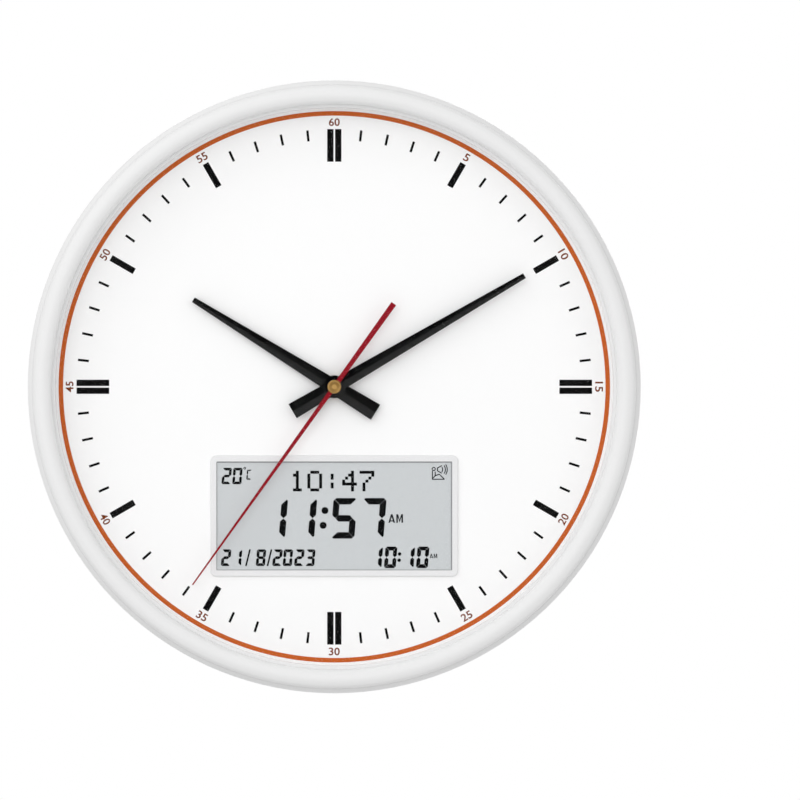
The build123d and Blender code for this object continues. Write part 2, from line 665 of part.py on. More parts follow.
def movement_cover():
    """Rear half over the train, with bearing bosses and the knob's bore."""
    half = CASE_HALF
    inner = half - CASE_WALL
    floor = COVER_FLOOR_Z
    low_y = SPLIT_Y + 0.1
    shell = block(-half, half, low_y, half, CASE_Z0, SPLIT_Z)
    corners = shell.edges().filter_by(Axis.Z).sort_by(Axis.Y)[-2:]
    shell = fillet(corners, CASE_CORNER)
    shell -= block(-inner, inner, low_y - 1.0, inner, floor, SPLIT_Z + 1.0)
    root_z = floor - 0.2
    posts = [
        rod(1.5, root_z, POST_Z),
        rod(1.5, root_z, POST_Z, THIRD_X, THIRD_Y),
        rod(1.5, root_z, POST_Z - 0.2, ROTOR_X, ROTOR_Y),
        rod(1.2, root_z, POST_Z - 0.1, FIFTH_X, 0.0),
        rod(STUD_R, root_z, 8.8, FIFTH_X, 0.0),
        rod(2.6, root_z, 8.0, SETTING_X, SETTING_Y),
    ]
    pivot_low = PIVOT_Z - 0.3
    bores = [
        rod(SHAFT_R + WHEEL_CLEAR, pivot_low, 6.0),
        rod(ARBOR_R + WHEEL_CLEAR, pivot_low, 6.0, THIRD_X, THIRD_Y),
        rod(ARBOR_R + WHEEL_CLEAR, pivot_low, 6.0, ROTOR_X, ROTOR_Y),
        rod(STEM_R + WHEEL_CLEAR, CASE_Z0 - 1.0, 9.0, SETTING_X, SETTING_Y),
    ]
    clip = block(-2.5, 2.5, -0.6, 0.6, SPLIT_Z - 2.0, SPLIT_Z)
    clips = [Pos(x, inner - 0.6, 0) * clip for x in CLIP_X]
    return (shell + posts + clips) - bores


def stator():
    """Two-armed iron plate with the rotor's hole and the core through the coil."""
    low, high = STATOR_Z0, STATOR_Z1
    core_in, core_out = CORE_X - CORE_HALF, CORE_X + CORE_HALF
    body = rod(STATOR_RING_R, low, high, ROTOR_X, ROTOR_Y)
    body += block(*YOKE_LIMB, ROTOR_Y, YOKE_HIGH[1], low, high)
    body += block(YOKE_LIMB[0], core_out, *YOKE_HIGH, low, high)
    body += block(ROTOR_X, core_out, *YOKE_LOW, low, high)
    body += block(core_in, core_out, YOKE_LOW[0], YOKE_HIGH[1], low, high)
    return body - rod(STATOR_HOLE_R, low - 1.0, high + 1.0, ROTOR_X, ROTOR_Y)


def coil_bobbin():
    """Square-flanged bobbin on the stator's core."""
    across = (CORE_X - FLANGE_HALF, CORE_X + FLANGE_HALF)
    deep = (CORE_Z - FLANGE_HALF, CORE_Z + FLANGE_HALF)
    body = block(*across, COIL_Y0, COIL_Y0 + FLANGE_T, *deep)
    body += block(*across, COIL_Y1 - FLANGE_T, COIL_Y1, *deep)
    body += along_y(BOBBIN_R, COIL_Y0, COIL_Y1, CORE_X, CORE_Z)
    room = 0.05
    hole_x = (CORE_X - CORE_HALF - room, CORE_X + CORE_HALF + room)
    hole = block(*hole_x, COIL_Y0 - 1.0, COIL_Y1 + 1.0, STATOR_Z0 - room, STATOR_Z1 + room)
    return body - hole


def coil():
    """Copper winding."""
    body = along_y(COIL_R, COIL_Y0 + FLANGE_T, COIL_Y1 - FLANGE_T, CORE_X, CORE_Z)
    return body - along_y(BOBBIN_R, COIL_Y0, COIL_Y1, CORE_X, CORE_Z)


def movement_pcb():
    """Driver board under the base's pegs."""
    return block(-25.5, 11.5, 13.0, 25.8, BOARD_Z0, BOARD_Z1)


def movement_crystal():
    """Can of the timing crystal, lying on the board."""
    radius = 1.2
    return along_x(radius, -20.0, -13.5, 18.0, BOARD_Z0 - radius)


def movement_chip():
    """Driver chip under its round potting."""
    return rod(2.6, BOARD_Z0 - 0.9, BOARD_Z0, -4.0, 18.5)


def cell_along_x(x_start, y, z):
    """Round cell lying along x, its plus end toward +x."""
    x_end = x_start + CELL_LENGTH
    return along_x(CELL_R, x_start, x_end, y, z) + along_x(NUB_R, x_end - 0.2, x_end + NUB_LENGTH, y, z)


def movement_cell():
    """Cell of the hands' movement."""
    return cell_along_x(MOVE_CELL_X, MOVE_CELL_Y, MOVE_CELL_Z)


def sprung_contact(x, y, z):
    """Contact at a cell's minus end: a flat plate with a folded tongue toward the cell."""
    half = CONTACT_T / 2
    back = block(x - half, x + half, y - CONTACT_HALF, y + CONTACT_HALF, z - 5.5, z + 5.5)
    tongue = block(-half, half, -2.0, 2.0, 0.0, TONGUE)
    lean = math.degrees(math.asin(1.6 / TONGUE))
    return back + Pos(x, y, z - 3.0) * Rot(0, lean, 0) * tongue


def flat_contact(x, y, z_low, z_high):
    """Contact plate at a cell's plus end, with its front face at x."""
    return block(x - CONTACT_T, x, y - CONTACT_HALF, y + CONTACT_HALF, z_low, z_high)


def movement_contacts():
    """The two contact plates of the movement's cell."""
    inner = CASE_HALF - CASE_WALL
    left = sprung_contact(-inner + CONTACT_T / 2, MOVE_CELL_Y, MOVE_CELL_Z)
    return left, flat_contact(inner, MOVE_CELL_Y, 5.0, 15.5)


def rubber_washer():
    """Soft washer between movement and back plate."""
    return tube(11.0, BUSHING_R + 0.2, CASE_Z1, PLATE_Z0)


def dial_washer():
    """Thin brass washer on the dial."""
    return tube(6.0, BUSHING_R + 0.2, DIAL_Z1, DIAL_Z1 + 0.5)


def dial_nut():
    """Hexagon nut on the bushing."""
    outline = Pos(0, 0, DIAL_Z1 + 0.5) * RegularPolygon(5.1, 6, major_radius=False)
    return extrude(outline, 2.2) - rod(BUSHING_R + 0.02, DIAL_Z1, BUSHING_Z1 + 1.0)


# ---- hands -------------------------------------------------------------------------------

def bar_section(width, y, z):
    """Outline across a hand: flat behind, with a crease along the middle of the front."""
    half = width / 2
    front = z + HAND_T
    middle = front - CREASE * half
    return Wire.make_polygon(
        [(-half, y, z), (half, y, z), (half, y, front), (0, y, middle), (-half, y, front)],
        close=True,
    )


def baton(length, tail, widths, z):
    """Tapered square-ended bar pointing up, creased along its length."""
    sections = [bar_section(widths[0], -tail, z), bar_section(widths[1], length, z)]
    return Solid.make_loft(sections, ruled=True)


def hour_hand():
    """Hour hand pressed on the hour pipe."""
    front = HOUR_Z + HAND_T
    body = baton(HOUR_LENGTH, HOUR_TAIL, HOUR_WIDTHS, HOUR_Z) + rod(HUB_R, HOUR_Z, front)
    body += rod(3.6, HOUR_Z - COLLAR_DROP, front)
    return Rot(0, 0, -HOUR_ANGLE) * (body - rod(HOUR_PIPE_R, HOUR_Z - 1.0, front + 1.0))


def minute_hand():
    """Minute hand pressed on the cannon pinion's pipe."""
    front = MINUTE_Z + HAND_T
    body = baton(MINUTE_LENGTH, MINUTE_TAIL, MINUTE_WIDTHS, MINUTE_Z) + rod(HUB_R, MINUTE_Z, front)
    body += rod(2.6, MINUTE_Z - COLLAR_DROP, front)
    return Rot(0, 0, -MINUTE_ANGLE) * (body - rod(CANNON_R, MINUTE_Z - 1.0, front + 1.0))


def seconds_hand():
    """Thin needle with a long tail, on its own collar."""
    tail, tip = SECONDS_WIDTHS[0] / 2, SECONDS_WIDTHS[1] / 2
    needle = Polyline(
        (-tail, -SECONDS_TAIL), (tail, -SECONDS_TAIL), (tip, SECONDS_LENGTH),
        (-tip, SECONDS_LENGTH), close=True,
    )
    front = SECONDS_Z + NEEDLE_T
    body = extrude(Pos(0, 0, SECONDS_Z) * make_face(needle), NEEDLE_T)
    body += rod(3.2, SECONDS_Z, front) + rod(1.4, SECONDS_Z - COLLAR_DROP, front)
    return Rot(0, 0, -SECONDS_ANGLE) * (body - rod(SHAFT_R, SECONDS_Z - 1.0, front + 1.0))


def hand_cap():
    """Turned brass cap with a raised rim and a dished face, closing the end of the shaft."""
    low = SECONDS_Z + NEEDLE_T
    high = low + CAP_T
    body = rod(CAP_R, low, high)
    body = fillet(body.edges().group_by(Axis.Z)[-1], 0.35)
    floor_r, mouth_r, depth = CAP_DISH
    dish = Pos(0, 0, high - depth / 2) * Cone(floor_r, mouth_r, depth)
    return body - dish - rod(SHAFT_R, low - 1.0, SHAFT_Z1 + 0.1)


# ---- digital module: window and panel ----------------------------------------------------

def lcd_window_frame():
    """Raised rounded frame on the dial with a skirt through the cut-out."""
    top = DIAL_Z1 + WINDOW_RISE
    flange = plate(WINDOW_W, WINDOW_H, 3.2, DIAL_Z1, top, 0.0, LCD_Y)
    flange = fillet(flange.edges().group_by(Axis.Z)[-1], 0.6)
    skirt = plate(SKIRT_W, SKIRT_H, 1.6, PLATE_Z0, DIAL_Z1 + 0.2, 0.0, LCD_Y)
    pocket = plate(PANEL_W + 0.5, PANEL_H + 0.5, 0.6, PLATE_Z0 - 1.0, PANEL_Z1, 0.0, LCD_Y)
    view = plate(VIEW_W, VIEW_H, 0.4, PLATE_Z0, top + 1.0, 0.0, LCD_Y)
    return flange + skirt - pocket - view


def centred(width, height, z_low, z_high):
    """Box centred on the digital window."""
    return block(-width / 2, width / 2, LCD_Y - height / 2, LCD_Y + height / 2, z_low, z_high)


def lcd_panel():
    """Two bonded panes with a narrow contact ledge at top and bottom."""
    front = centred(PANEL_W, PANEL_H, PANEL_SPLIT_Z, PANEL_Z1)
    return front + centred(PANEL_W, PANEL_REAR_H, PANEL_Z0, PANEL_SPLIT_Z)


def lcd_backing():
    """Light guide and reflector behind the panel."""
    return centred(GUIDE_W, GUIDE_H, GUIDE_Z0, PANEL_Z0)


def zebra_strips():
    """Two conducting rubber strips between board and panel."""
    strip = block(-56.0, 56.0, -0.7, 0.7, PCB_Z1, PANEL_SPLIT_Z)
    ledge = (PANEL_H + PANEL_REAR_H) / 4
    return [Pos(0, LCD_Y + side * ledge, 0) * strip for side in (-1, 1)]


def main_pcb():
    """Module's board, screwed to the back plate's standoffs."""
    board = block(-PCB_X, PCB_X, *PCB_Y, PCB_Z0, PCB_Z1)
    return board - [rod(1.2, PCB_Z0 - 1.0, PCB_Z1 + 1.0, x, y) for x, y in PCB_POST_AT]


def board_screws():
    """Small screws of the module's board."""
    return [screw(x, y, PCB_Z0, PLATE_Z0 + 0.6, 2.0, PCB_SCREW_R) for x, y in PCB_POST_AT]


def main_chips():
    """Controller, sound memory and amplifier on the rear of the board."""
    controller = block(-6.0, 6.0, -62.0, -50.0, PCB_Z0 - 1.5, PCB_Z0)
    memory = block(-4.0, 4.0, -76.0, -70.0, PCB_Z0 - 1.6, PCB_Z0)
    amplifier = block(10.0, 15.0, -76.0, -72.0, PCB_Z0 - 1.6, PCB_Z0)
    return controller, memory, amplifier


def main_crystal():
    """Timing crystal of the module."""
    radius = 1.5
    return along_x(radius, -16.0, -8.0, -66.0, PCB_Z0 - radius)


def capacitors():
    """Three standing capacitors."""
    cans = [rod(3.0, 8.6, PCB_Z0, x, -93.0) for x in (6.0, 14.0, 22.0)]
    return [chamfer(rear_edges(can), 0.4) for can in cans]


def tact_switches():
    """One switch under each push button."""
    half = SWITCH_HALF
    switches = []
    for y in BUTTON_Y:
        for x in BUTTON_X:
            body = block(x - half, x + half, y - half, y + half, SWITCH_Z0, PCB_Z0)
            switches.append(body + rod(1.7, SWITCH_Z0 - 0.8, SWITCH_Z0 + 0.1, x, y))
    return switches


def slide_switch_body():
    """Sliding switch on the board."""
    body = block(-5.0, 5.0, -2.4, 2.4, 11.6, PCB_Z0)
    reach = SLIDE_STEM_X + SLIDE_TRAVEL + 0.5
    slot = block(-reach, reach, -SLIDE_STEM_Y - 0.3, SLIDE_STEM_Y + 0.3, 11.0, 13.4)
    return Pos(SLIDE_X, SLIDE_Y, 0) * (body - slot)


def slide_switch_knob():
    """Knob reaching through the housing, ribbed for the finger."""
    x, y = SLIDE_STEM_X, SLIDE_STEM_Y
    stem = block(-x, x, -y, y, 1.9, 13.2)
    shield = block(-6.5, 6.5, -3.0, 3.0, HOUSE_FLOOR + 0.2, HOUSE_FLOOR + 1.0)
    grooves = [block(at - 0.2, at + 0.2, -2.0, 2.0, 1.5, 2.2) for at in (-0.6, 0.6)]
    return Pos(SLIDE_X, SLIDE_Y, 0) * ((stem + shield) - grooves)


def push_button():
    """Round cap with a sunk face, a retaining flange and a stem to its switch."""
    flange_z = HOUSE_FLOOR + 0.2
    cap = chamfer(rear_edges(rod(BUTTON_R, BUTTON_Z0, flange_z + 0.6)), 0.4)
    cap -= rod(3.2, BUTTON_Z0 - 1.0, BUTTON_Z0 + 0.3)
    stem_end = SWITCH_Z0 - 1.85
    return cap + rod(BUTTON_FLANGE_R, flange_z, flange_z + 0.8) + rod(1.2, flange_z + 0.6, stem_end)


# ---- digital module: housing -------------------------------------------------------------

def housing_shell():
    """Open tray with chamfered rear edges and four screw ears."""
    centre_y = (HOUSE_TOP + HOUSE_BOTTOM) / 2
    height = HOUSE_TOP - HOUSE_BOTTOM
    body = plate(2 * HOUSE_X, height, 4.0, HOUSE_Z0, HOUSE_Z1, 0.0, centre_y)
    body = chamfer(rear_edges(body), 0.8)
    ears = []
    for x, y in MODULE_SCREW_AT:
        near = math.copysign(HOUSE_X - 1.0, x)
        ears.append(rod(EAR_R, EAR_Z, HOUSE_Z1, x, y))
        ears.append(block(min(near, x), max(near, x), y - EAR_R, y + EAR_R, EAR_Z, HOUSE_Z1))
    inner_x = HOUSE_X - HOUSE_WALL
    inner_y = (HOUSE_BOTTOM + HOUSE_WALL, HOUSE_TOP - HOUSE_WALL)
    return body + ears - block(-inner_x, inner_x, *inner_y, HOUSE_FLOOR, HOUSE_Z1 + 1.0)


def cell_bay_walls():
    """Walls around the two cells and the ledges that the door slides on."""
    rim_top = DOOR_TOP + 1.4
    walls = [
        block(-DOOR_RIM_X, DOOR_RIM_X, HOUSE_BOTTOM, rim_top, DOOR_Z1, 6.6),
        block(-DOOR_RIM_X, DOOR_RIM_X, CELL_BAY_Y1, CELL_BAY_Y1 + BAY_WALL, HOUSE_FLOOR, HOUSE_Z1 - 0.6),
    ]
    for low_x in (-CELL_BAY_X - BAY_WALL, CELL_BAY_X):
        walls.append(block(
            low_x, low_x + BAY_WALL, HOUSE_BOTTOM + 0.5, CELL_BAY_Y1 + 0.6, HOUSE_FLOOR, HOUSE_Z1 - 0.6
        ))
    return walls


def door_cuts():
    """Mouth of the cell bay, the door's seat and the grooves for its tongues."""
    outside = HOUSE_BOTTOM - 5.0
    behind = HOUSE_Z0 - 1.0
    groove_x = DOOR_X + TONGUE_W
    return [
        block(-CELL_BAY_X, CELL_BAY_X, CELL_BAY_Y0, CELL_BAY_Y1, behind, 17.0),
        block(-DOOR_X, DOOR_X, outside, DOOR_TOP, behind, DOOR_Z1),
        block(-groove_x, groove_x, outside, DOOR_TOP, GROOVE_Z0, GROOVE_Z1),
    ]


def grille_slots():
    """Rounded slots that fill a circle in front of the speaker."""
    slots = []
    for k in range(-4, 5):
        rise = GRILLE_PITCH * k
        reach = math.sqrt(GRILLE_R ** 2 - rise ** 2)
        slot = Pos(SPEAKER_X, SPEAKER_Y + rise, HOUSE_Z0 - 1.0) * SlotOverall(2 * reach, GRILLE_SLOT)
        slots.append(extrude(slot, HOUSE_WALL + 2.2))
    return slots


def module_housing():
    """Rear housing: tray, cell bay, grille, button holes and the slide switch's slot."""
    body = housing_shell() + cell_bay_walls()
    behind = HOUSE_Z0 - 1.0
    above = HOUSE_FLOOR + 1.0
    cuts = door_cuts() + grille_slots()
    for y in BUTTON_Y:
        for x in BUTTON_X:
            cuts.append(rod(BUTTON_R + BUTTON_GAP, behind, above, x, y))
    slot_x = SLIDE_STEM_X + SLIDE_TRAVEL + 0.2
    slot_y = SLIDE_STEM_Y + 0.2
    cuts.append(Pos(SLIDE_X, SLIDE_Y, 0) * block(-slot_x, slot_x, -slot_y, slot_y, behind, above))
    for x, y in MODULE_SCREW_AT:
        cuts.append(rod(SHANK_CLEAR_R, EAR_Z - 1.0, HOUSE_Z1 + 1.0, x, y))
    return body - cuts


def module_screws():
    """Four screws through the housing's ears."""
    return [screw(x, y, EAR_Z, SHORT_TIP_Z) for x, y in MODULE_SCREW_AT]


def battery_door():
    """Sliding door with side tongues and finger ridges."""
    side = DOOR_X - DOOR_GAP
    top = DOOR_TOP - DOOR_GAP
    tongue_x = side + TONGUE_W - 0.1
    body = block(-side, side, HOUSE_BOTTOM, top, HOUSE_Z0, DOOR_Z1)
    body += block(-tongue_x, tongue_x, HOUSE_BOTTOM, top, GROOVE_Z0 + 0.1, GROOVE_Z1 - 0.1)
    ridges = [block(-9.0, 9.0, y - 0.4, y + 0.4, 2.4, 3.2) for y in range(-118, -106, 2)]
    return body + ridges


def speaker_basket():
    """Pressed frame of the speaker, with two solder lugs."""
    ring = tube(20.0, 17.6, HOUSE_FLOOR, HOUSE_FLOOR + 0.8)
    outer = Pos(0, 0, 7.6) * Cone(19.2, 12.2, 4.2)
    inner = Pos(0, 0, 7.6) * Cone(18.5, 11.5, 4.4)
    basket = ring + (outer - inner - rod(11.4, 4.0, 11.0))
    lug_x = LUG_X - SPEAKER_X
    for side in (-1, 1):
        lug_y = side * LEAD_OFFSET
        basket += block(lug_x - 1.2, lug_x + 1.2, lug_y - 1.0, lug_y + 1.0, 6.9, LUG_Z)
    return Pos(SPEAKER_X, SPEAKER_Y, 0) * basket


def speaker_cone():
    """Paper cone with a flat dust cap."""
    outer = Pos(0, 0, 7.2) * Cone(17.3, 5.0, 3.2)
    inner = Pos(0, 0, 6.7) * Cone(17.3, 5.0, 3.2)
    return Pos(SPEAKER_X, SPEAKER_Y, 0) * (outer - inner + rod(5.4, 7.6, 8.3))


def speaker_magnet():
    """Ring magnet with its rear cup."""
    return rod(11.0, 9.75, PCB_Z0 - 1.0, SPEAKER_X, SPEAKER_Y)


def speaker_leads():
    """Two insulated leads from the board to the lugs of the speaker."""
    leads = []
    for side in (-1, 1):
        y = SPEAKER_Y + side * LEAD_OFFSET
        route = FilletPolyline(
            (LEAD_X, y, PCB_Z0), (LEAD_X, y, LEAD_Z), (LUG_X, y, LEAD_Z), (LUG_X, y, LUG_Z), radius=1.4
        )
        leads.append(sweep(Plane(origin=(LEAD_X, y, PCB_Z0), z_dir=(0, 0, -1)) * Circle(LEAD_R), path=route))
    return leads


def module_cells():
    """Two cells end to end."""
    return [cell_along_x(x, MODULE_CELL_Y, MODULE_CELL_Z) for x in MODULE_CELLS_X]


def module_contacts():
    """End contacts of the module's cells."""
    left = sprung_contact(-CELL_BAY_X + CONTACT_T / 2, MODULE_CELL_Y, MODULE_CELL_Z)
    return left, flat_contact(CELL_BAY_X, MODULE_CELL_Y, 6.8, 16.8)


# ---- save every part ---------------------------------------------------------------------

save("bezel_frame", bezel_frame())
save("front_glass", front_glass())
save("spacer_ring", spacer_ring())
save("dial", dial())
save("back_plate", back_plate())
save("case_screws", *case_screws())
save("hanger_bracket", hanger_bracket())
save("hanger_screws", *hanger_screws())

save("movement_base", movement_base())
save("movement_cover", movement_cover())
save("rotor", rotor())
save("fifth_wheel", fifth_wheel())
save("seconds_wheel", seconds_wheel())
save("third_wheel", third_wheel())
save("centre_wheel", centre_wheel())
save("clutch_spring", clutch_spring())
save("cannon_pinion", cannon_pinion())
save("minute_wheel", minute_wheel())
save("hour_wheel", hour_wheel())
save("setting_knob", setting_knob())
save("stator", stator())
save("coil_bobbin", coil_bobbin())
save("coil", coil())
save("movement_pcb", movement_pcb())
save("movement_crystal", movement_crystal())
save("movement_chip", movement_chip())
save("movement_cell", movement_cell())
save("movement_contacts", *movement_contacts())
save("rubber_washer", rubber_washer())
save("dial_washer", dial_washer())
save("dial_nut", dial_nut())

save("hour_hand", hour_hand())
save("minute_hand", minute_hand())
save("seconds_hand", seconds_hand())
save("hand_cap", hand_cap())

save("lcd_window_frame", lcd_window_frame())
save("lcd_panel", lcd_panel())
save("lcd_backing", lcd_backing())
save("zebra_strips", *zebra_strips())
save("main_pcb", main_pcb())
save("board_screws", *board_screws())
save("main_chips", *main_chips())
save("main_crystal", main_crystal())
save("capacitors", *capacitors())
save("tact_switches", *tact_switches())
save("slide_switch_body", slide_switch_body())
save("slide_switch_knob", slide_switch_knob())
button_names = ("button_set", "button_mode", "button_up", "button_light", "button_sound", "button_down")
for index, button_name in enumerate(button_names):
    button_x = BUTTON_X[index % 3]
    button_y = BUTTON_Y[index // 3]
    save(button_name, Pos(button_x, button_y, 0) * push_button())
save("module_housing", module_housing())
save("module_screws", *module_screws())
save("battery_door", battery_door())
save("speaker", speaker_basket(), speaker_cone(), speaker_magnet())
save("speaker_leads", *speaker_leads())
save("module_cells", *module_cells())
save("module_contacts", *module_contacts())
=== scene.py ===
import math
import bmesh
import bpy
from mathutils import Matrix, Vector

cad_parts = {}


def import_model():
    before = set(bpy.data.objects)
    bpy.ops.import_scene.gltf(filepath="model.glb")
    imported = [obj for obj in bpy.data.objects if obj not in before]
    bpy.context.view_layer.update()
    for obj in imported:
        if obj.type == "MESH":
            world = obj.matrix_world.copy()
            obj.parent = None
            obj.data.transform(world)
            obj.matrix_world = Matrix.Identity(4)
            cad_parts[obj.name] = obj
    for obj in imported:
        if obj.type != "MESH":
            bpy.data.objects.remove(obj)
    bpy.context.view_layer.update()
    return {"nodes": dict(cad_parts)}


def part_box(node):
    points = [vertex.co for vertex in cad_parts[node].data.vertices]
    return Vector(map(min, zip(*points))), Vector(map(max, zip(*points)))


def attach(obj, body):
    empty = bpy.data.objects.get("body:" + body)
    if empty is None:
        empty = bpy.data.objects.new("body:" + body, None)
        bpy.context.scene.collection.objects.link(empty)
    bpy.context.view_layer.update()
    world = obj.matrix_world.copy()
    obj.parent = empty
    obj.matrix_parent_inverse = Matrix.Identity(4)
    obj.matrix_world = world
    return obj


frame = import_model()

# Looks of the round wall clock. Sizes are in millimetres in the dial's own frame, with x right,
# y up and z from the wall toward the viewer, and spot() turns them into the row's metres.

MM = 0.001
HANG_Y = 118.0           # the row's origin above the hands' axis


def spot(x, y, z):
    """Point of the dial's frame in the row frame."""
    return Vector((x * MM, -z * MM, (y - HANG_Y) * MM))


DIAL_Z = -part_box("dial")[0][1] / MM          # front of the dial
PANEL_Z = -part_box("lcd_panel")[0][1] / MM    # front of the display
PRINT_T = 0.05                               # thickness of a printed layer
LCD_Y = -69.6                                # middle of the display


# ---- materials ---------------------------------------------------------------------------

def linear(value):
    """One display colour value, 0 to 255, as scene light."""
    share = value / 255
    return share / 12.92 if share <= 0.04045 else ((share + 0.055) / 1.055) ** 2.4


def colour(red, green, blue):
    """Display colour as scene light with full alpha."""
    return (linear(red), linear(green), linear(blue), 1.0)


GRAIN_DETAIL = 4.0
GRAIN_HEIGHT = 0.0002    # metres of relief at full bump


def finish(name, tint, rough, metallic=0.0, grain=900.0, bump=0.02, mottle=0.03, spread=0.06, **sockets):
    """Surface with fine grain: noise varies the colour and roughness a little and drives the bump."""
    material = bpy.data.materials.new(name)
    material.use_nodes = True
    nodes = material.node_tree.nodes
    links = material.node_tree.links
    shader = nodes["Principled BSDF"]
    shader.inputs["Metallic"].default_value = metallic
    for socket, value in sockets.items():
        shader.inputs[socket.replace("_", " ")].default_value = value
    place = nodes.new("ShaderNodeTexCoord")
    noise = nodes.new("ShaderNodeTexNoise")
    noise.inputs["Scale"].default_value = grain
    noise.inputs["Detail"].default_value = GRAIN_DETAIL
    links.new(place.outputs["Object"], noise.inputs["Vector"])
    tone = nodes.new("ShaderNodeMixRGB")
    tone.inputs["Color1"].default_value = tuple(part * (1 - mottle) for part in tint[:3]) + (1.0,)
    tone.inputs["Color2"].default_value = tint
    links.new(noise.outputs["Fac"], tone.inputs["Fac"])
    links.new(tone.outputs["Color"], shader.inputs["Base Color"])
    ramp = nodes.new("ShaderNodeMapRange")
    ramp.inputs["To Min"].default_value = max(rough - spread / 2, 0.02)
    ramp.inputs["To Max"].default_value = rough + spread / 2
    links.new(noise.outputs["Fac"], ramp.inputs["Value"])
    links.new(ramp.outputs["Result"], shader.inputs["Roughness"])
    relief = nodes.new("ShaderNodeBump")
    relief.inputs["Strength"].default_value = bump
    relief.inputs["Distance"].default_value = GRAIN_HEIGHT
    links.new(noise.outputs["Fac"], relief.inputs["Height"])
    links.new(relief.outputs["Normal"], shader.inputs["Normal"])
    return material


def feed(material, socket, value):
    """Link an output to a socket, or set the socket to a plain value."""
    if isinstance(value, bpy.types.NodeSocket):
        material.node_tree.links.new(value, socket)
    else:
        socket.default_value = value


def place_output(material):
    """The finish's own position in the row's frame."""
    return next(node for node in material.node_tree.nodes if node.type == "TEX_COORD").outputs["Object"]


def brushed(name, tint, rough, stretch):
    """Metal with fine lines along one direction."""
    material = finish(name, tint, rough, metallic=1.0, grain=400.0, bump=0.05, mottle=0.12, spread=0.12)
    nodes = material.node_tree.nodes
    noise = next(node for node in nodes if node.type == "TEX_NOISE")
    squeeze = nodes.new("ShaderNodeMapping")
    feed(material, squeeze.inputs["Vector"], place_output(material))
    squeeze.inputs["Scale"].default_value = stretch
    feed(material, noise.inputs["Vector"], squeeze.outputs["Vector"])
    return material


FACE_ON = 0.0015         # share of light that the pane mirrors when it is looked at squarely
GLANCE_POWER = 5.0       # Schlick's power for the rise towards a glancing angle
PANE_ROUGH = 0.03
RIPPLE_SCALE = 14.0
RIPPLE_BUMP = 0.01
RIPPLE_HEIGHT = 0.0005   # metres of relief at full bump


def mirror_share(nodes, links):
    """Share of light that glass mirrors, the same on both of its faces."""
    facing = nodes.new("ShaderNodeLayerWeight")
    rise = nodes.new("ShaderNodeMath")
    rise.operation = "POWER"
    rise.inputs[1].default_value = GLANCE_POWER
    links.new(facing.outputs["Facing"], rise.inputs[0])
    share = nodes.new("ShaderNodeMapRange")
    share.inputs["To Min"].default_value = FACE_ON
    links.new(rise.outputs["Value"], share.inputs["Value"])
    return share.outputs["Result"]


def pane_material():
    """Clear thin glass: it mirrors a little, more at a glancing angle, and lets the rest through."""
    material = bpy.data.materials.new("pane_glass")
    material.use_nodes = True
    nodes = material.node_tree.nodes
    links = material.node_tree.links
    nodes.remove(nodes["Principled BSDF"])
    clear = nodes.new("ShaderNodeBsdfTransparent")
    mirror = nodes.new("ShaderNodeBsdfGlossy")
    mirror.inputs["Roughness"].default_value = PANE_ROUGH
    share = mirror_share(nodes, links)
    place = nodes.new("ShaderNodeTexCoord")
    ripple = nodes.new("ShaderNodeTexNoise")
    ripple.inputs["Scale"].default_value = RIPPLE_SCALE
    relief = nodes.new("ShaderNodeBump")
    relief.inputs["Strength"].default_value = RIPPLE_BUMP
    relief.inputs["Distance"].default_value = RIPPLE_HEIGHT
    links.new(place.outputs["Object"], ripple.inputs["Vector"])
    links.new(ripple.outputs["Fac"], relief.inputs["Height"])
    links.new(relief.outputs["Normal"], mirror.inputs["Normal"])
    mix = nodes.new("ShaderNodeMixShader")
    links.new(share, mix.inputs["Fac"])
    links.new(clear.outputs["BSDF"], mix.inputs[1])
    links.new(mirror.outputs["BSDF"], mix.inputs[2])
    links.new(mix.outputs["Shader"], nodes["Material Output"].inputs["Surface"])
    return material


def overpaint(material, share, tint):
    """Multiply a finish's own colour by a tint; each of the two is a value or an output."""
    nodes = material.node_tree.nodes
    shader = nodes["Principled BSDF"]
    mix = nodes.new("ShaderNodeMixRGB")
    mix.blend_type = "MULTIPLY"
    feed(material, mix.inputs["Fac"], share)
    feed(material, mix.inputs["Color1"], shader.inputs["Base Color"].links[0].from_socket)
    feed(material, mix.inputs["Color2"], tint)
    feed(material, shader.inputs["Base Color"], mix.outputs["Color"])


def reach(material, centre, keep):
    """Distance of the surface from a point in metres, along the axes where keep holds a one."""
    nodes = material.node_tree.nodes
    flat = nodes.new("ShaderNodeMapping")
    flat.inputs["Location"].default_value = [-part * kept for part, kept in zip(centre, keep)]
    flat.inputs["Scale"].default_value = keep
    feed(material, flat.inputs["Vector"], place_output(material))
    length = nodes.new("ShaderNodeVectorMath")
    length.operation = "LENGTH"
    feed(material, length.inputs[0], flat.outputs["Vector"])
    return length.outputs["Value"]


GROOVE_R = 162.1         # fine step around the frame's front, where shade is painted
GROOVE_HALF = 0.45       # half the step's width
# painted shade: the colour that darkens the frame's step
PAINTED_GROOVE_SHADE = (0.94, 0.94, 0.94, 1.0)


def with_groove(material):
    """Painted shade: darken a narrow ring of the frame a little, at the step before its rim."""
    ring = material.node_tree.nodes.new("ShaderNodeMath")
    ring.operation = "COMPARE"
    feed(material, ring.inputs[0], reach(material, spot(0, 0, 0), (1.0, 0.0, 1.0)))
    ring.inputs[1].default_value = GROOVE_R * MM
    ring.inputs[2].default_value = GROOVE_HALF * MM
    overpaint(material, ring.outputs["Value"], PAINTED_GROOVE_SHADE)
    return material


HOUR_ANGLE = 301.7       # clockwise from twelve, as the hands stand at rest
MINUTE_ANGLE = 59.7
FOLD_HALF = 0.25         # half the width of the soft line where the painted shade of a hand's one face meets its other face
# painted shade that darkens one face of a hand
PAINTED_FOLD_SHADE = (0.03, 0.03, 0.03, 1.0)


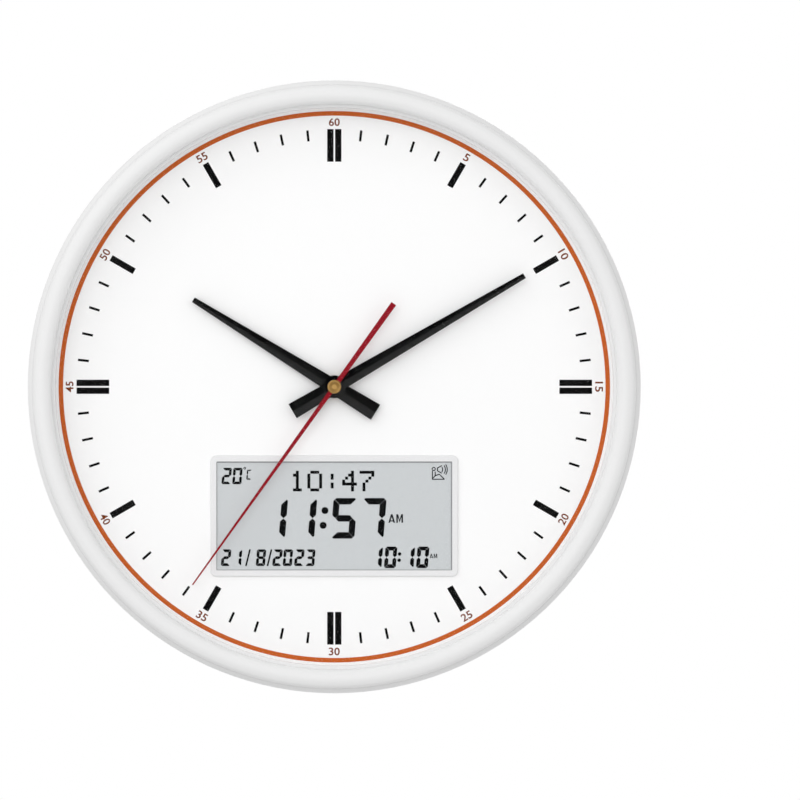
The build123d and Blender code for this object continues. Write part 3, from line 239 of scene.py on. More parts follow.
def folded_hand(name, clock_angle):
    """Black paint of a hand with painted shade on one half along its middle, standing in for the light on
    the two faces of a fold: the face turned up is painted the darker one.
    """
    material = finish(
        name, colour(40, 40, 40), 0.35, grain=1800.0, bump=0.03, mottle=0.2, Specular_IOR_Level=0.01
    )
    nodes = material.node_tree.nodes
    turn = math.radians(clock_angle)
    up = math.copysign(1.0, math.sin(turn))
    across = nodes.new("ShaderNodeVectorMath")
    across.operation = "DOT_PRODUCT"
    feed(material, across.inputs[0], place_output(material))
    across.inputs[1].default_value = (-up * math.cos(turn), 0.0, up * math.sin(turn))
    side = nodes.new("ShaderNodeMapRange")
    feed(material, side.inputs["Value"], across.outputs["Value"])
    middle = -up * math.sin(turn) * HANG_Y
    side.inputs["From Min"].default_value = (middle - FOLD_HALF) * MM
    side.inputs["From Max"].default_value = (middle + FOLD_HALF) * MM
    overpaint(material, side.outputs["Result"], PAINTED_FOLD_SHADE)
    return material


STEEL_END = colour(190, 190, 192)
SLEEVE = ((0.02, colour(34, 62, 48)), (0.7, colour(196, 150, 74)))    # share of a cell where each starts
SLEEVE_END = 0.975       # share of a cell where the steel nub starts


def cell_wrap(name, node, cells):
    """Printed sleeve of round cells lying along x: steel ends, a bright band by the plus end."""
    low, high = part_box(node)
    material = finish(name, colour(255, 255, 255), 0.3, grain=600.0, mottle=0.06)
    nodes = material.node_tree.nodes
    split = nodes.new("ShaderNodeSeparateXYZ")
    feed(material, split.inputs["Vector"], place_output(material))
    along = nodes.new("ShaderNodeMapRange")
    feed(material, along.inputs["Value"], split.outputs["X"])
    along.inputs["From Min"].default_value = low[0]
    along.inputs["From Max"].default_value = high[0]
    along.inputs["To Max"].default_value = cells
    part = nodes.new("ShaderNodeMath")
    part.operation = "FRACT"
    feed(material, part.inputs[0], along.outputs["Result"])
    bands = nodes.new("ShaderNodeValToRGB")
    bands.color_ramp.interpolation = "CONSTANT"
    feed(material, bands.inputs["Fac"], part.outputs["Value"])
    bands.color_ramp.elements[0].color = STEEL_END
    bands.color_ramp.elements[1].position = SLEEVE_END
    bands.color_ramp.elements[1].color = STEEL_END
    for position, tint in SLEEVE:
        bands.color_ramp.elements.new(position).color = tint[:3] + (0.0,)
    overpaint(material, 1.0, bands.outputs["Color"])
    feed(material, nodes["Principled BSDF"].inputs["Metallic"], bands.outputs["Alpha"])
    return material


# white gloss of the frame, with painted shade at its step
WHITE_GLOSS = with_groove(finish(
    "white_gloss", colour(232, 232, 232), 0.4, grain=700.0, bump=0.015, mottle=0.02, Specular_IOR_Level=0.3
))
WINDOW_WHITE = finish("window_white", colour(232, 232, 233), 0.4, grain=700.0, bump=0.015, mottle=0.02)
WHITE_SATIN = finish("white_satin", colour(228, 228, 228), 0.55, grain=1500.0, bump=0.14, mottle=0.04)
DIAL_WHITE = finish("dial_white", colour(253, 253, 253), 0.6, grain=2500.0, bump=0.02, mottle=0.01)
PANE = pane_material()
RING_ORANGE = finish(
    "ring_orange", colour(202, 97, 38), 0.5, grain=2500.0, mottle=0.06, Specular_IOR_Level=0.1
)
NUMERAL_ORANGE = finish(
    "numeral_orange", colour(126, 58, 16), 0.6, grain=2500.0, mottle=0.06, Specular_IOR_Level=0.1
)
INK_BLACK = finish("ink_black", colour(10, 10, 10), 0.6, grain=2500.0, mottle=0.2, Specular_IOR_Level=0.02)
# black of the hands, with painted shade on one face of each
HOUR_HAND = folded_hand("hour_hand_black", HOUR_ANGLE)
MINUTE_HAND = folded_hand("minute_hand_black", MINUTE_ANGLE)
CAP_BRASS = finish("cap_brass", colour(140, 110, 62), 0.3, metallic=1.0, grain=1500.0, mottle=0.1)
HAND_RED = finish(
    "hand_red", colour(146, 14, 30), 0.4, grain=1800.0, bump=0.04, mottle=0.1, Specular_IOR_Level=0.06
)
BRASS = finish("brass", colour(196, 158, 92), 0.22, metallic=1.0, grain=1500.0, mottle=0.1)
LCD_GREY = finish("lcd_grey", colour(197, 201, 203), 0.28, grain=1200.0, bump=0.004, mottle=0.015)
SEGMENT = finish("lcd_segment", colour(8, 9, 10), 0.5, grain=2500.0, mottle=0.1, Specular_IOR_Level=0.02)
SEGMENT_FINE = finish(
    "lcd_segment_fine", colour(40, 42, 45), 0.5, grain=2500.0, mottle=0.1, Specular_IOR_Level=0.02
)
# painted shade along the display's edge
PANEL_EDGE_SHADE = finish("panel_edge_shade", colour(150, 152, 154), 0.6, grain=2500.0)
BLACK_PLASTIC = finish("black_plastic", colour(34, 34, 36), 0.55, grain=1400.0, bump=0.1, mottle=0.2)
STEEL = brushed("steel", colour(168, 168, 170), 0.32, (1.0, 1.0, 14.0))
COPPER = brushed("copper", colour(176, 92, 52), 0.35, (1.0, 1.0, 30.0))
ACETAL = finish("acetal", colour(226, 220, 200), 0.45, grain=1200.0)
MAGNET = finish("magnet", colour(70, 70, 74), 0.5, metallic=0.6, grain=1500.0, bump=0.1, mottle=0.2)
BOARD = finish("board", colour(22, 84, 48), 0.4, grain=900.0, mottle=0.2)
CHIP = finish("chip", colour(24, 24, 26), 0.5, grain=2000.0, bump=0.1, mottle=0.2)
CAN = brushed("can", colour(190, 190, 192), 0.28, (1.0, 12.0, 1.0))
MOVEMENT_CELL = cell_wrap("movement_cell_wrap", "movement_cell", 1)
MODULE_CELLS = cell_wrap("module_cell_wrap", "module_cells", 2)
# the cover's black plastic made lighter: painted highlight on its raised marks
MOULD_MARK_HIGHLIGHT = finish("mould_mark_highlight", colour(74, 74, 77), 0.35, grain=1400.0, bump=0.03, mottle=0.1)
PAD_PRINT = finish("pad_print", colour(112, 115, 120), 0.6, grain=1500.0, mottle=0.06)
RUBBER = finish("rubber", colour(24, 24, 24), 0.8, grain=1600.0, bump=0.15, mottle=0.2)
CONE = finish("cone_paper", colour(40, 38, 36), 0.9, grain=800.0, bump=0.3, mottle=0.3)
BUTTON_GREY = finish("button_grey", colour(128, 131, 135), 0.5, grain=1500.0, bump=0.08)
GUIDE = finish("light_guide", colour(222, 226, 228), 0.2, grain=900.0)
LEAD = finish("lead", colour(122, 26, 24), 0.5, grain=900.0, mottle=0.15)

NODE_FINISH = {
    "bezel_frame": WHITE_GLOSS, "front_glass": PANE, "spacer_ring": WHITE_SATIN, "dial": DIAL_WHITE,
    "back_plate": WHITE_SATIN, "case_screws": STEEL, "hanger_bracket": STEEL, "hanger_screws": STEEL,
    "movement_base": BLACK_PLASTIC, "movement_cover": BLACK_PLASTIC, "rotor": MAGNET,
    "fifth_wheel": ACETAL, "seconds_wheel": ACETAL, "third_wheel": ACETAL, "centre_wheel": ACETAL,
    "clutch_spring": BRASS, "cannon_pinion": BRASS, "minute_wheel": ACETAL, "hour_wheel": ACETAL,
    "setting_knob": ACETAL, "stator": STEEL, "coil_bobbin": ACETAL, "coil": COPPER,
    "movement_pcb": BOARD, "movement_crystal": CAN, "movement_chip": CHIP, "movement_cell": MOVEMENT_CELL,
    "movement_contacts": STEEL, "rubber_washer": RUBBER, "dial_washer": BRASS, "dial_nut": BRASS,
    "hour_hand": HOUR_HAND, "minute_hand": MINUTE_HAND, "seconds_hand": HAND_RED, "hand_cap": CAP_BRASS,
    "lcd_window_frame": WINDOW_WHITE, "lcd_panel": LCD_GREY, "lcd_backing": GUIDE,
    "zebra_strips": RUBBER, "main_pcb": BOARD, "board_screws": STEEL, "main_chips": CHIP,
    "main_crystal": CAN, "capacitors": CAN, "tact_switches": CHIP, "slide_switch_body": CHIP,
    "slide_switch_knob": BUTTON_GREY, "module_housing": WHITE_SATIN, "module_screws": STEEL,
    "battery_door": WHITE_SATIN, "speaker": CONE, "speaker_leads": LEAD, "module_cells": MODULE_CELLS,
    "module_contacts": STEEL,
}


def paint_nodes():
    """Give every CAD node its finish."""
    for name, node in frame["nodes"].items():
        material = NODE_FINISH.get(name, BUTTON_GREY)
        node.data.materials.clear()
        node.data.materials.append(material)


# ---- flat print --------------------------------------------------------------------------

def add_piece(name, work, material):
    """Turn finished mesh work into a piece that rides on the case."""
    bmesh.ops.recalc_face_normals(work, faces=work.faces)
    mesh = bpy.data.meshes.new(name)
    work.to_mesh(mesh)
    work.free()
    mesh.materials.append(material)
    piece = bpy.data.objects.new(name, mesh)
    bpy.context.scene.collection.objects.link(piece)
    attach(piece, "case")


def prism_mesh(name, outlines, z, material, thick=PRINT_T):
    """Thin prisms, one for each outline of (x, y) points, standing on height z."""
    work = bmesh.new()
    for outline in outlines:
        low = [work.verts.new(spot(x, y, z)) for x, y in outline]
        high = [work.verts.new(spot(x, y, z + thick)) for x, y in outline]
        work.faces.new(low)
        work.faces.new(high)
        for k in range(len(outline)):
            nxt = (k + 1) % len(outline)
            work.faces.new([low[k], low[nxt], high[nxt], high[k]])
    add_piece(name, work, material)


def turned_mesh(name, section, material, steps=256):
    """Ring turned about the hands' axis from a closed section of (radius, z) points."""
    work = bmesh.new()
    rows = []
    for k in range(steps):
        turn = 2 * math.pi * k / steps
        rows.append([work.verts.new(spot(r * math.cos(turn), r * math.sin(turn), z)) for r, z in section])
    for k in range(steps):
        here, there = rows[k], rows[(k + 1) % steps]
        for j in range(len(section)):
            nxt = (j + 1) % len(section)
            work.faces.new([here[j], here[nxt], there[nxt], there[j]])
    add_piece(name, work, material)


def bar(radius_in, radius_out, width, clock_angle, offset=0.0):
    """Outline of a radial bar; the angle runs clockwise from twelve."""
    turn = math.radians(clock_angle)
    out = (math.sin(turn), math.cos(turn))
    side = (out[1], -out[0])
    corners = []
    for radius, across in (
        (radius_in, -width / 2), (radius_in, width / 2), (radius_out, width / 2), (radius_out, -width / 2),
    ):
        shift = across + offset
        corners.append((out[0] * radius + side[0] * shift, out[1] * radius + side[1] * shift))
    return corners


TRACK_OUT = 139.0        # radius where all marks end
TICK_IN = 133.1          # radii where the three kinds of mark start
FIVE_IN = 124.6
QUARTER_IN = 121.4
BAR_W = 3.4
TICK_W = 1.3
PAIR_GAP = 0.85          # clear line between the two bars of a quarter
PAIR_STEP = (BAR_W + PAIR_GAP) / 2
NUMERAL_R = 142.75       # radius of the numerals' middles
NUMERAL_H = 4.25
DIGIT_W = 2.95
ONE_W = 2.5              # width of the slim digit one
BOLD = 0.015             # swelling of the numerals' outlines, in the curve's own units
CURVE_STEPS = 3          # points along each curve of a numeral
WELD = 1e-4              # numeral points nearer than this are one
RING_IN = 146.25
RING_OUT = 148.7


def minute_track():
    """Sixty marks: ticks, five-minute bars, and pairs of bars at the quarters."""
    outlines = []
    for minute in range(60):
        angle = 6 * minute
        if minute % 15 == 0:
            for side in (-1, 1):
                outlines.append(bar(QUARTER_IN, TRACK_OUT, BAR_W, angle, side * PAIR_STEP))
        elif minute % 5 == 0:
            outlines.append(bar(FIVE_IN, TRACK_OUT, BAR_W, angle))
        else:
            outlines.append(bar(TICK_IN, TRACK_OUT, TICK_W, angle))
    prism_mesh("print_minute_track", outlines, DIAL_Z, INK_BLACK)


def orange_ring():
    """Coloured line printed near the dial's edge."""
    low, high = DIAL_Z, DIAL_Z + PRINT_T
    section = [(RING_IN, low), (RING_OUT, low), (RING_OUT, high), (RING_IN, high)]
    turned_mesh("print_ring", section, RING_ORANGE)


def glyph_mesh(text):
    """Mesh of a line of plain digits in the built-in face, centred on its own middle."""
    curve = bpy.data.curves.new("glyphs", "FONT")
    curve.body = text
    curve.resolution_u = CURVE_STEPS
    curve.offset = BOLD
    holder = bpy.data.objects.new("glyphs", curve)
    bpy.context.scene.collection.objects.link(holder)
    bpy.context.view_layer.update()
    mesh = bpy.data.meshes.new_from_object(holder.evaluated_get(bpy.context.evaluated_depsgraph_get()))
    bpy.data.objects.remove(holder)
    xs = [v.co.x for v in mesh.vertices]
    ys = [v.co.y for v in mesh.vertices]
    middle = Vector(((max(xs) + min(xs)) / 2, (max(ys) + min(ys)) / 2, 0))
    mesh.transform(Matrix.Translation(-middle))
    return mesh, max(xs) - min(xs), max(ys) - min(ys)


def lettering(name, labels, z, material):
    """One piece from labels of (text, x, y, width, turn): flat numerals given a little body."""
    work = bmesh.new()
    for text, x, y, width, turn in labels:
        mesh, raw_w, raw_h = glyph_mesh(text)
        size = Matrix.Diagonal((width / raw_w, NUMERAL_H / raw_h, 1, 1))
        mesh.transform(Matrix.Translation((x, y, 0)) @ Matrix.Rotation(math.radians(turn), 4, "Z") @ size)
        work.from_mesh(mesh)
        bpy.data.meshes.remove(mesh)
    bmesh.ops.remove_doubles(work, verts=work.verts, dist=WELD)
    grown = bmesh.ops.extrude_face_region(work, geom=list(work.faces))
    for item in grown["geom"]:
        if isinstance(item, bmesh.types.BMVert):
            item.co.z += PRINT_T
    for vert in work.verts:
        vert.co = spot(vert.co.x, vert.co.y, z + vert.co.z)
    add_piece(name, work, material)


def minute_numerals():
    """Five to sixty around the track; those of the lower half are turned to be read upright."""
    labels = []
    for minute in range(5, 65, 5):
        angle = 6 * minute
        turn = math.radians(angle)
        text = str(minute)
        tilt = -angle if minute <= 15 or minute >= 45 else 180 - angle
        width = sum(ONE_W if char == "1" else DIGIT_W for char in text)
        labels.append((text, NUMERAL_R * math.sin(turn), NUMERAL_R * math.cos(turn), width, tilt))
    lettering("print_numerals", labels, DIAL_Z, NUMERAL_ORANGE)


# ---- display -----------------------------------------------------------------------------

SEGMENTS_OF = {
    "0": "abcdef", "1": "bc", "2": "abged", "3": "abgcd", "5": "afgcd", "7": "abc", "8": "abcdefg",
    "C": "afed",
}
SLANT = 0.08             # sideways lean of the digits for each unit of height
GAP = 0.07               # half of the clear line between neighbouring strokes of a digit
CORNER = 0.42            # how much of a digit's corner is cut away, in strokes


def lean(outline, x, y):
    """Set a digit's outline in place, leaning to the right with height."""
    return [(x + px + SLANT * py, y + py) for px, py in outline]


def digit_strokes(width, height, stroke):
    """The seven strokes of a digit: cut at its rounded corners, pointed at its waist."""
    half, cut, mid = stroke / 2, stroke * CORNER, height / 2
    inner_top, over, under = height - stroke, mid + half, mid - half
    upright = [
        (0, height - cut), (cut / 2, height - cut / 2 - GAP), (stroke, inner_top - GAP), (stroke, over),
        (half, mid + GAP), (0, over),
    ]
    left_roof = [(stroke + GAP, inner_top), (cut / 2 + GAP, height - cut / 2), (cut, height)]
    roof = left_roof + [(width - px, py) for px, py in reversed(left_roof)]
    left_waist = [(stroke + GAP, under), (half + GAP, mid), (stroke + GAP, over)]
    waist = left_waist + [(width - px, py) for px, py in reversed(left_waist)]
    return {
        "a": roof, "d": [(px, height - py) for px, py in roof], "g": waist,
        "f": upright, "e": [(px, height - py) for px, py in upright],
        "b": [(width - px, py) for px, py in upright],
        "c": [(width - px, height - py) for px, py in upright],
    }


def seven_segment(char, x, y, width, height, stroke):
    """Outlines of one digit whose lower left corner is at (x, y)."""
    strokes = digit_strokes(width, height, stroke)
    return [lean(strokes[part], x, y) for part in SEGMENTS_OF[char]]


def digit_row(places, foot, size):
    """Outlines of digits, each given with its left edge, on a common foot."""
    outlines = []
    for char, x in places:
        outlines += seven_segment(char, x, foot, *size)
    return outlines


def dot(x, y, radius, sides=20):
    """Round dot."""
    turns = [2 * math.pi * k / sides for k in range(sides)]
    return [(x + radius * math.cos(turn), y + radius * math.sin(turn)) for turn in turns]


def stroke_line(ax, ay, bx, by, width):
    """Straight stroke with square ends."""
    length = math.hypot(bx - ax, by - ay)
    nx, ny = -(by - ay) / length * width / 2, (bx - ax) / length * width / 2
    return [(ax + nx, ay + ny), (bx + nx, by + ny), (bx - nx, by - ny), (ax - nx, ay - ny)]


def arc_stroke(x, y, radius, start, end, width, steps=8):
    """Curved stroke about a centre, from one angle to another in degrees."""
    turns = [math.radians(start + (end - start) * k / steps) for k in range(steps + 1)]
    far, near = radius + width / 2, radius - width / 2
    outer = [(x + far * math.cos(turn), y + far * math.sin(turn)) for turn in turns]
    inner = [(x + near * math.cos(turn), y + near * math.sin(turn)) for turn in turns]
    return outer + inner[::-1]


NEARLY_ROUND = 355       # degrees of a ring's stroke, which has to stay one open outline


def ring_stroke(x, y, radius, width, steps=24):
    """Stroke of a small ring."""
    return arc_stroke(x, y, radius, 0, NEARLY_ROUND, width, steps)


def rectangle(left, right, low, high):
    """Corners of an upright rectangle."""
    return [(left, low), (right, low), (right, high), (left, high)]


DOT_DIGITS = {
    "0": (14, 17, 17, 17, 17, 17, 14), "1": (4, 12, 4, 4, 4, 4, 14), "4": (2, 6, 10, 18, 31, 2, 2),
    "7": (31, 1, 2, 4, 8, 8, 8), ":": (0, 4, 4, 0, 4, 4, 0),
}


def dot_matrix(text, x, y, cell, pitch):
    """Square dots of a five by seven face; each row of a digit is five bits."""
    outlines = []
    for place, char in enumerate(text):
        for row, bits in enumerate(DOT_DIGITS[char]):
            for column in range(5):
                if bits >> (4 - column) & 1:
                    left = x + place * pitch + column * cell
                    low = y + (6 - row) * cell
                    outlines.append(rectangle(left, left + cell, low, low + cell))
    return outlines


TIME_DIGIT = (12.9, 21.85, 3.45)     # width, height and stroke
DATE_DIGIT = (5.0, 9.0, 1.55)
CLOCK_DIGIT = (6.4, 11.6, 2.1)
WARMTH_DIGIT = (5.0, 8.85, 1.42)
UNIT_DIGIT = (2.6, 5.4, 0.75)
TIME_Y = LCD_Y - 12.25               # foot of each row
DATE_Y = LCD_Y - 27.05
CLOCK_Y = LCD_Y - 28.15
WARMTH_Y = LCD_Y + 17.05
UNIT_Y = LCD_Y + 19.5
DOT_ROW_Y = LCD_Y + 13.2
TIME_ROW = (("1", -39.5), ("1", -23.8), ("5", -2.1), ("7", 13.6))    # digits and their left edges
DATE_ROW = (
    ("2", -61.2), ("1", -55.3), ("8", -42.4), ("2", -33.5), ("0", -27.9), ("2", -21.7), ("3", -15.8),
)
CLOCK_ROW = (("1", 19.0), ("0", 26.7), ("1", 36.3), ("0", 44.0))
WARMTH_ROW = (("2", -60.9), ("0", -55.1))
UNIT_X = -47.5
DOT_ROW_X = -23.9
TIME_DOTS = ((-5.05, 2.9), (-6.0, -5.1))          # from the display's middle
TIME_DOT_R = 1.88
CLOCK_DOTS = ((35.2, -20.55), (34.95, -23.9))
CLOCK_DOT_R = 0.97
SLASH_X = (-47.65, -36.05)           # foot of each stroke between day, month and year
SLASH_REACH = 2.2
SLASH_W = 0.9
DEGREE_SIGN = (-48.3, 25.7)
DEGREE_R = 0.5
DEGREE_W = 0.4
DOT_CELL = 1.59
DOT_PITCH = 9.38


def big_time():
    """Large slanted time in the middle of the panel."""
    outlines = digit_row(TIME_ROW, TIME_Y, TIME_DIGIT)
    outlines += [dot(x, LCD_Y + y, TIME_DOT_R) for x, y in TIME_DOTS]
    prism_mesh("lcd_time", outlines, PANEL_Z, SEGMENT)


def date_row():
    """Day, month and year with leaning strokes between them."""
    outlines = digit_row(DATE_ROW, DATE_Y, DATE_DIGIT)
    top = DATE_Y + DATE_DIGIT[1]
    outlines += [stroke_line(x, DATE_Y, x + SLASH_REACH, top, SLASH_W) for x in SLASH_X]
    prism_mesh("lcd_date", outlines, PANEL_Z, SEGMENT)


def second_clock():
    """Second time in the lower right corner."""
    outlines = digit_row(CLOCK_ROW, CLOCK_Y, CLOCK_DIGIT)
    outlines += [dot(x, LCD_Y + y, CLOCK_DOT_R) for x, y in CLOCK_DOTS]
    prism_mesh("lcd_second_clock", outlines, PANEL_Z, SEGMENT)


def warmth():
    """Temperature with its degree sign and unit."""
    outlines = digit_row(WARMTH_ROW, WARMTH_Y, WARMTH_DIGIT)
    outlines += seven_segment("C", UNIT_X, UNIT_Y, *UNIT_DIGIT)
    x, y = DEGREE_SIGN
    outlines.append(ring_stroke(x, LCD_Y + y, DEGREE_R, DEGREE_W, 16))
    prism_mesh("lcd_temperature", outlines, PANEL_Z, SEGMENT)


def dot_row():
    """Time in square dots along the top."""
    outlines = dot_matrix("10:47", DOT_ROW_X, DOT_ROW_Y, DOT_CELL, DOT_PITCH)
    prism_mesh("lcd_dot_row", outlines, PANEL_Z, SEGMENT)


LETTER_SHARE = 0.46      # width of one letter in the pair's width
PEAK_SHARE = 0.55        # half the flat peak of the A, in strokes
RUNG_LOW, RUNG_HIGH = 0.22, 0.42     # the A's rung, as shares of its inner height
NOTCH_DROP = 1.9         # from the top to the A's inner peak, in strokes
SHOULDER = 1.2           # width of the M's shoulder, in strokes
VALLEY = 2.0             # height of the M's upper valley, in strokes


def half_day(x, y, width, height, stroke):
    """Letters A and M side by side, from the lower left corner (x, y)."""
    letter = width * LETTER_SHARE
    start = width - letter
    middle, notch = letter / 2, height - NOTCH_DROP * stroke
    peak, shoulder = PEAK_SHARE * stroke, SHOULDER * stroke
    left_foot = stroke + (middle - stroke) * RUNG_LOW
    left_bar = stroke + (middle - stroke) * RUNG_HIGH
    bar_low, bar_high = notch * RUNG_LOW, notch * RUNG_HIGH
    legs = [
        (0, 0), (middle - peak, height), (middle + peak, height), (letter, 0), (letter - stroke, 0),
        (middle, notch), (stroke, 0),
    ]
    rung = [
        (left_foot, bar_low), (letter - left_foot, bar_low), (letter - left_bar, bar_high),
        (left_bar, bar_high),
    ]
    gate = [
        (0, 0), (0, height), (shoulder, height), (middle, VALLEY * stroke), (letter - shoulder, height),
        (letter, height), (letter, 0), (letter - stroke, 0), (letter - stroke, notch), (middle, 0),
        (stroke, notch), (stroke, 0),
    ]
    first = [[(x + px, y + py) for px, py in outline] for outline in (legs, rung)]
    return first + [[(x + start + px, y + py) for px, py in gate]]


TIME_HALF = (29.15, LCD_Y - 3.7, 7.9, 4.6, 0.85)       # left edge, foot, width, height and stroke
CLOCK_HALF = (51.4, LCD_Y - 22.85, 4.1, 2.4, 0.42)
HEAD = (53.6, LCD_Y + 25.3)          # middle of the seated figure's head
HEAD_R = 0.85
SIGN_STROKE = 0.55
FIGURE_LINES = (                     # ends of the body's strokes, from the head's middle
    ((-0.7, -1.0), (-0.7, -5.4)), ((0.8, -1.4), (0.8, -3.7)), ((0.8, -3.7), (3.0, -2.8)),
    ((3.0, -2.8), (5.6, -5.4)), ((-1.0, -5.55), (5.9, -5.55)), ((-0.7, -5.2), (0.8, -3.7)),
)
HORN_LINES = (((2.0, 0.6), (2.0, -1.1)), ((2.0, 0.5), (4.4, 1.8)), ((2.0, -1.0), (4.4, -2.3)))
WAVE_MIDDLE = (2.6, -0.3)
WAVE_RADII = (2.2, 3.7, 4.7)
WAVE_HALF = 36                       # degrees each side of the horn's axis


def small_signs():
    """Half-day letters, and a plain sign of a loudspeaker over a seated figure."""
    outlines = half_day(*TIME_HALF) + half_day(*CLOCK_HALF)
    x, y = HEAD
    for start, end in FIGURE_LINES + HORN_LINES:
        outlines.append(stroke_line(x + start[0], y + start[1], x + end[0], y + end[1], SIGN_STROKE))
    outlines.append(ring_stroke(x, y, HEAD_R, SIGN_STROKE, 20))
    wave_x, wave_y = x + WAVE_MIDDLE[0], y + WAVE_MIDDLE[1]
    for radius in WAVE_RADII:
        outlines.append(arc_stroke(wave_x, wave_y, radius, -WAVE_HALF, WAVE_HALF, SIGN_STROKE))
    prism_mesh("lcd_signs", outlines, PANEL_Z, SEGMENT_FINE)


VIEW_HALF_X = 63.55      # half size of the panel's open area
VIEW_HALF_Y = 29.35
# widths of the painted shade along the panel's edge
THIN_EDGE_SHADE = 0.4
WIDE_EDGE_SHADE = 0.7
EDGE_T = 0.04            # thinner than the segments, so that no two faces share a plane


def panel_border():
    """Painted shade along the panel's edge, where it dips under the window frame, wider along the top and
    right.
    """
    side, low, high = VIEW_HALF_X, LCD_Y - VIEW_HALF_Y, LCD_Y + VIEW_HALF_Y
    foot, head = low + THIN_EDGE_SHADE, high - WIDE_EDGE_SHADE
    outlines = [
        rectangle(-side, side, low, foot),
        rectangle(-side, side, head, high),
        rectangle(-side, THIN_EDGE_SHADE - side, foot, head),
        rectangle(side - WIDE_EDGE_SHADE, side, foot, head),
    ]
    prism_mesh("lcd_edge_shade", outlines, PANEL_Z, PANEL_EDGE_SHADE, EDGE_T)


# ---- marks on the rear -------------------------------------------------------------------

MARK_T = 0.2             # height of a raised moulded mark
ARROW_R = 7.0            # turning arrow around the setting knob
ARROW_FROM, ARROW_TO = -60, 130      # degrees
ARROW_W = 0.7
ARROW_HEAD = 1.5
HEAD_STEP = 4            # degrees from the arrow's end to the middle of its head
POLE_X = 23.0            # signs of the cell's poles
POLE_Y = -7.4
POLE_SIZE = 3.4
POLE_W = 0.8
SIGN_OFF = 8.6           # from a button's centre to its printed sign
ARROW_OFF = 8.2          # the same for the triangles
SWITCH_OFF = 8.6         # from the switch's centre to the sign of each end
FINE_W, LINE_W = 0.4, 0.5            # strokes of the printed signs


def centre_of(node):
    """Middle of a node's box as x and y of the dial's frame."""
    low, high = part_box(node)
    return (low[0] + high[0]) / 2 / MM, (low[2] + high[2]) / 2 / MM + HANG_Y


def rear_face(node):
    """Height of a node's rearmost face above the wall."""
    return -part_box(node)[1][1] / MM


def plus_sign(x, y, size, width):
    """Upright cross of one outline."""
    h, w = size / 2, width / 2
    corner = [(w, w), (w, h), (-w, h), (-w, w), (-h, w), (-h, -w), (-w, -w), (-w, -h)]
    return [(x + px, y + py) for px, py in corner + [(w, -h), (w, -w), (h, -w), (h, w)]]


def triangle(x, y, size, turn):
    """Triangle of even sides that points at the angle given in degrees."""
    turns = [math.radians(turn + 120 * k) for k in range(3)]
    return [(x + size * math.cos(t), y + size * math.sin(t)) for t in turns]


def cover_marks():
    """Raised signs on the movement's cover: the knob's turning arrow, and the cell's poles, in a lighter
    grey than the cover as a painted highlight.
    """
    x, y = centre_of("setting_knob")
    outlines = [arc_stroke(x, y, ARROW_R, ARROW_FROM, ARROW_TO, ARROW_W, 24)]
    for angle, side in ((ARROW_FROM - HEAD_STEP, -90), (ARROW_TO + HEAD_STEP, 90)):
        turn = math.radians(angle)
        head_x, head_y = x + ARROW_R * math.cos(turn), y + ARROW_R * math.sin(turn)
        outlines.append(triangle(head_x, head_y, ARROW_HEAD, angle + side))
    outlines.append(plus_sign(POLE_X, POLE_Y, POLE_SIZE, POLE_W))
    half = POLE_SIZE / 2
    outlines.append(stroke_line(-POLE_X - half, POLE_Y, -POLE_X + half, POLE_Y, POLE_W))
    prism_mesh("cover_marks", outlines, rear_face("movement_cover") - MARK_T, MOULD_MARK_HIGHLIGHT, MARK_T)


SIGN_HALF = 1.7          # reach of a triangle, and half the length of a menu line
MENU_STEP = 1.2          # between two menu lines
TARGET_R, TARGET_DOT_R = 1.5, 0.6
LAMP_R = 0.8
RAY_FROM, RAY_TO = 1.25, 1.95
HORN = ((1.8, -0.6), (1.8, 0.6), (0.9, 0.6), (-0.2, 1.6), (-0.2, -1.6), (0.9, -0.6))
SOUND_X = 0.6            # middle of the sound waves, from the sign's middle
SOUND_RADII = (1.6, 2.6)
SOUND_FROM, SOUND_TO = 140, 220      # degrees
ON_HALF = 1.2            # half the line that marks the switch's one end
OFF_R = 1.1              # ring that marks its other end


def up_sign(x, y):
    """Triangle that points up."""
    return [triangle(x, y, SIGN_HALF, 90)]


def down_sign(x, y):
    """Triangle that points down."""
    return [triangle(x, y, SIGN_HALF, -90)]


def menu_sign(x, y):
    """Three level lines."""
    rows = (y - MENU_STEP, y, y + MENU_STEP)
    return [stroke_line(x - SIGN_HALF, row, x + SIGN_HALF, row, LINE_W) for row in rows]


def target_sign(x, y):
    """Dot in a ring."""
    return [dot(x, y, TARGET_DOT_R), ring_stroke(x, y, TARGET_R, LINE_W)]


def lamp_sign(x, y):
    """Dot with eight rays."""
    outlines = [dot(x, y, LAMP_R)]
    for angle in range(0, 360, 45):
        right, up = math.cos(math.radians(angle)), math.sin(math.radians(angle))
        start = (x + RAY_FROM * right, y + RAY_FROM * up)
        end = (x + RAY_TO * right, y + RAY_TO * up)
        outlines.append(stroke_line(*start, *end, FINE_W))
    return outlines


def speaker_sign(x, y):
    """Loudspeaker with two waves, as it is read from behind."""
    outlines = [[(x + px, y + py) for px, py in HORN]]
    for radius in SOUND_RADII:
        outlines.append(arc_stroke(x + SOUND_X, y, radius, SOUND_FROM, SOUND_TO, FINE_W))
    return outlines


BUTTON_SIGNS = (
    ("button_up", up_sign, ARROW_OFF), ("button_down", down_sign, -ARROW_OFF),
    ("button_mode", menu_sign, SIGN_OFF), ("button_set", target_sign, SIGN_OFF),
    ("button_light", lamp_sign, -SIGN_OFF), ("button_sound", speaker_sign, -SIGN_OFF),
)


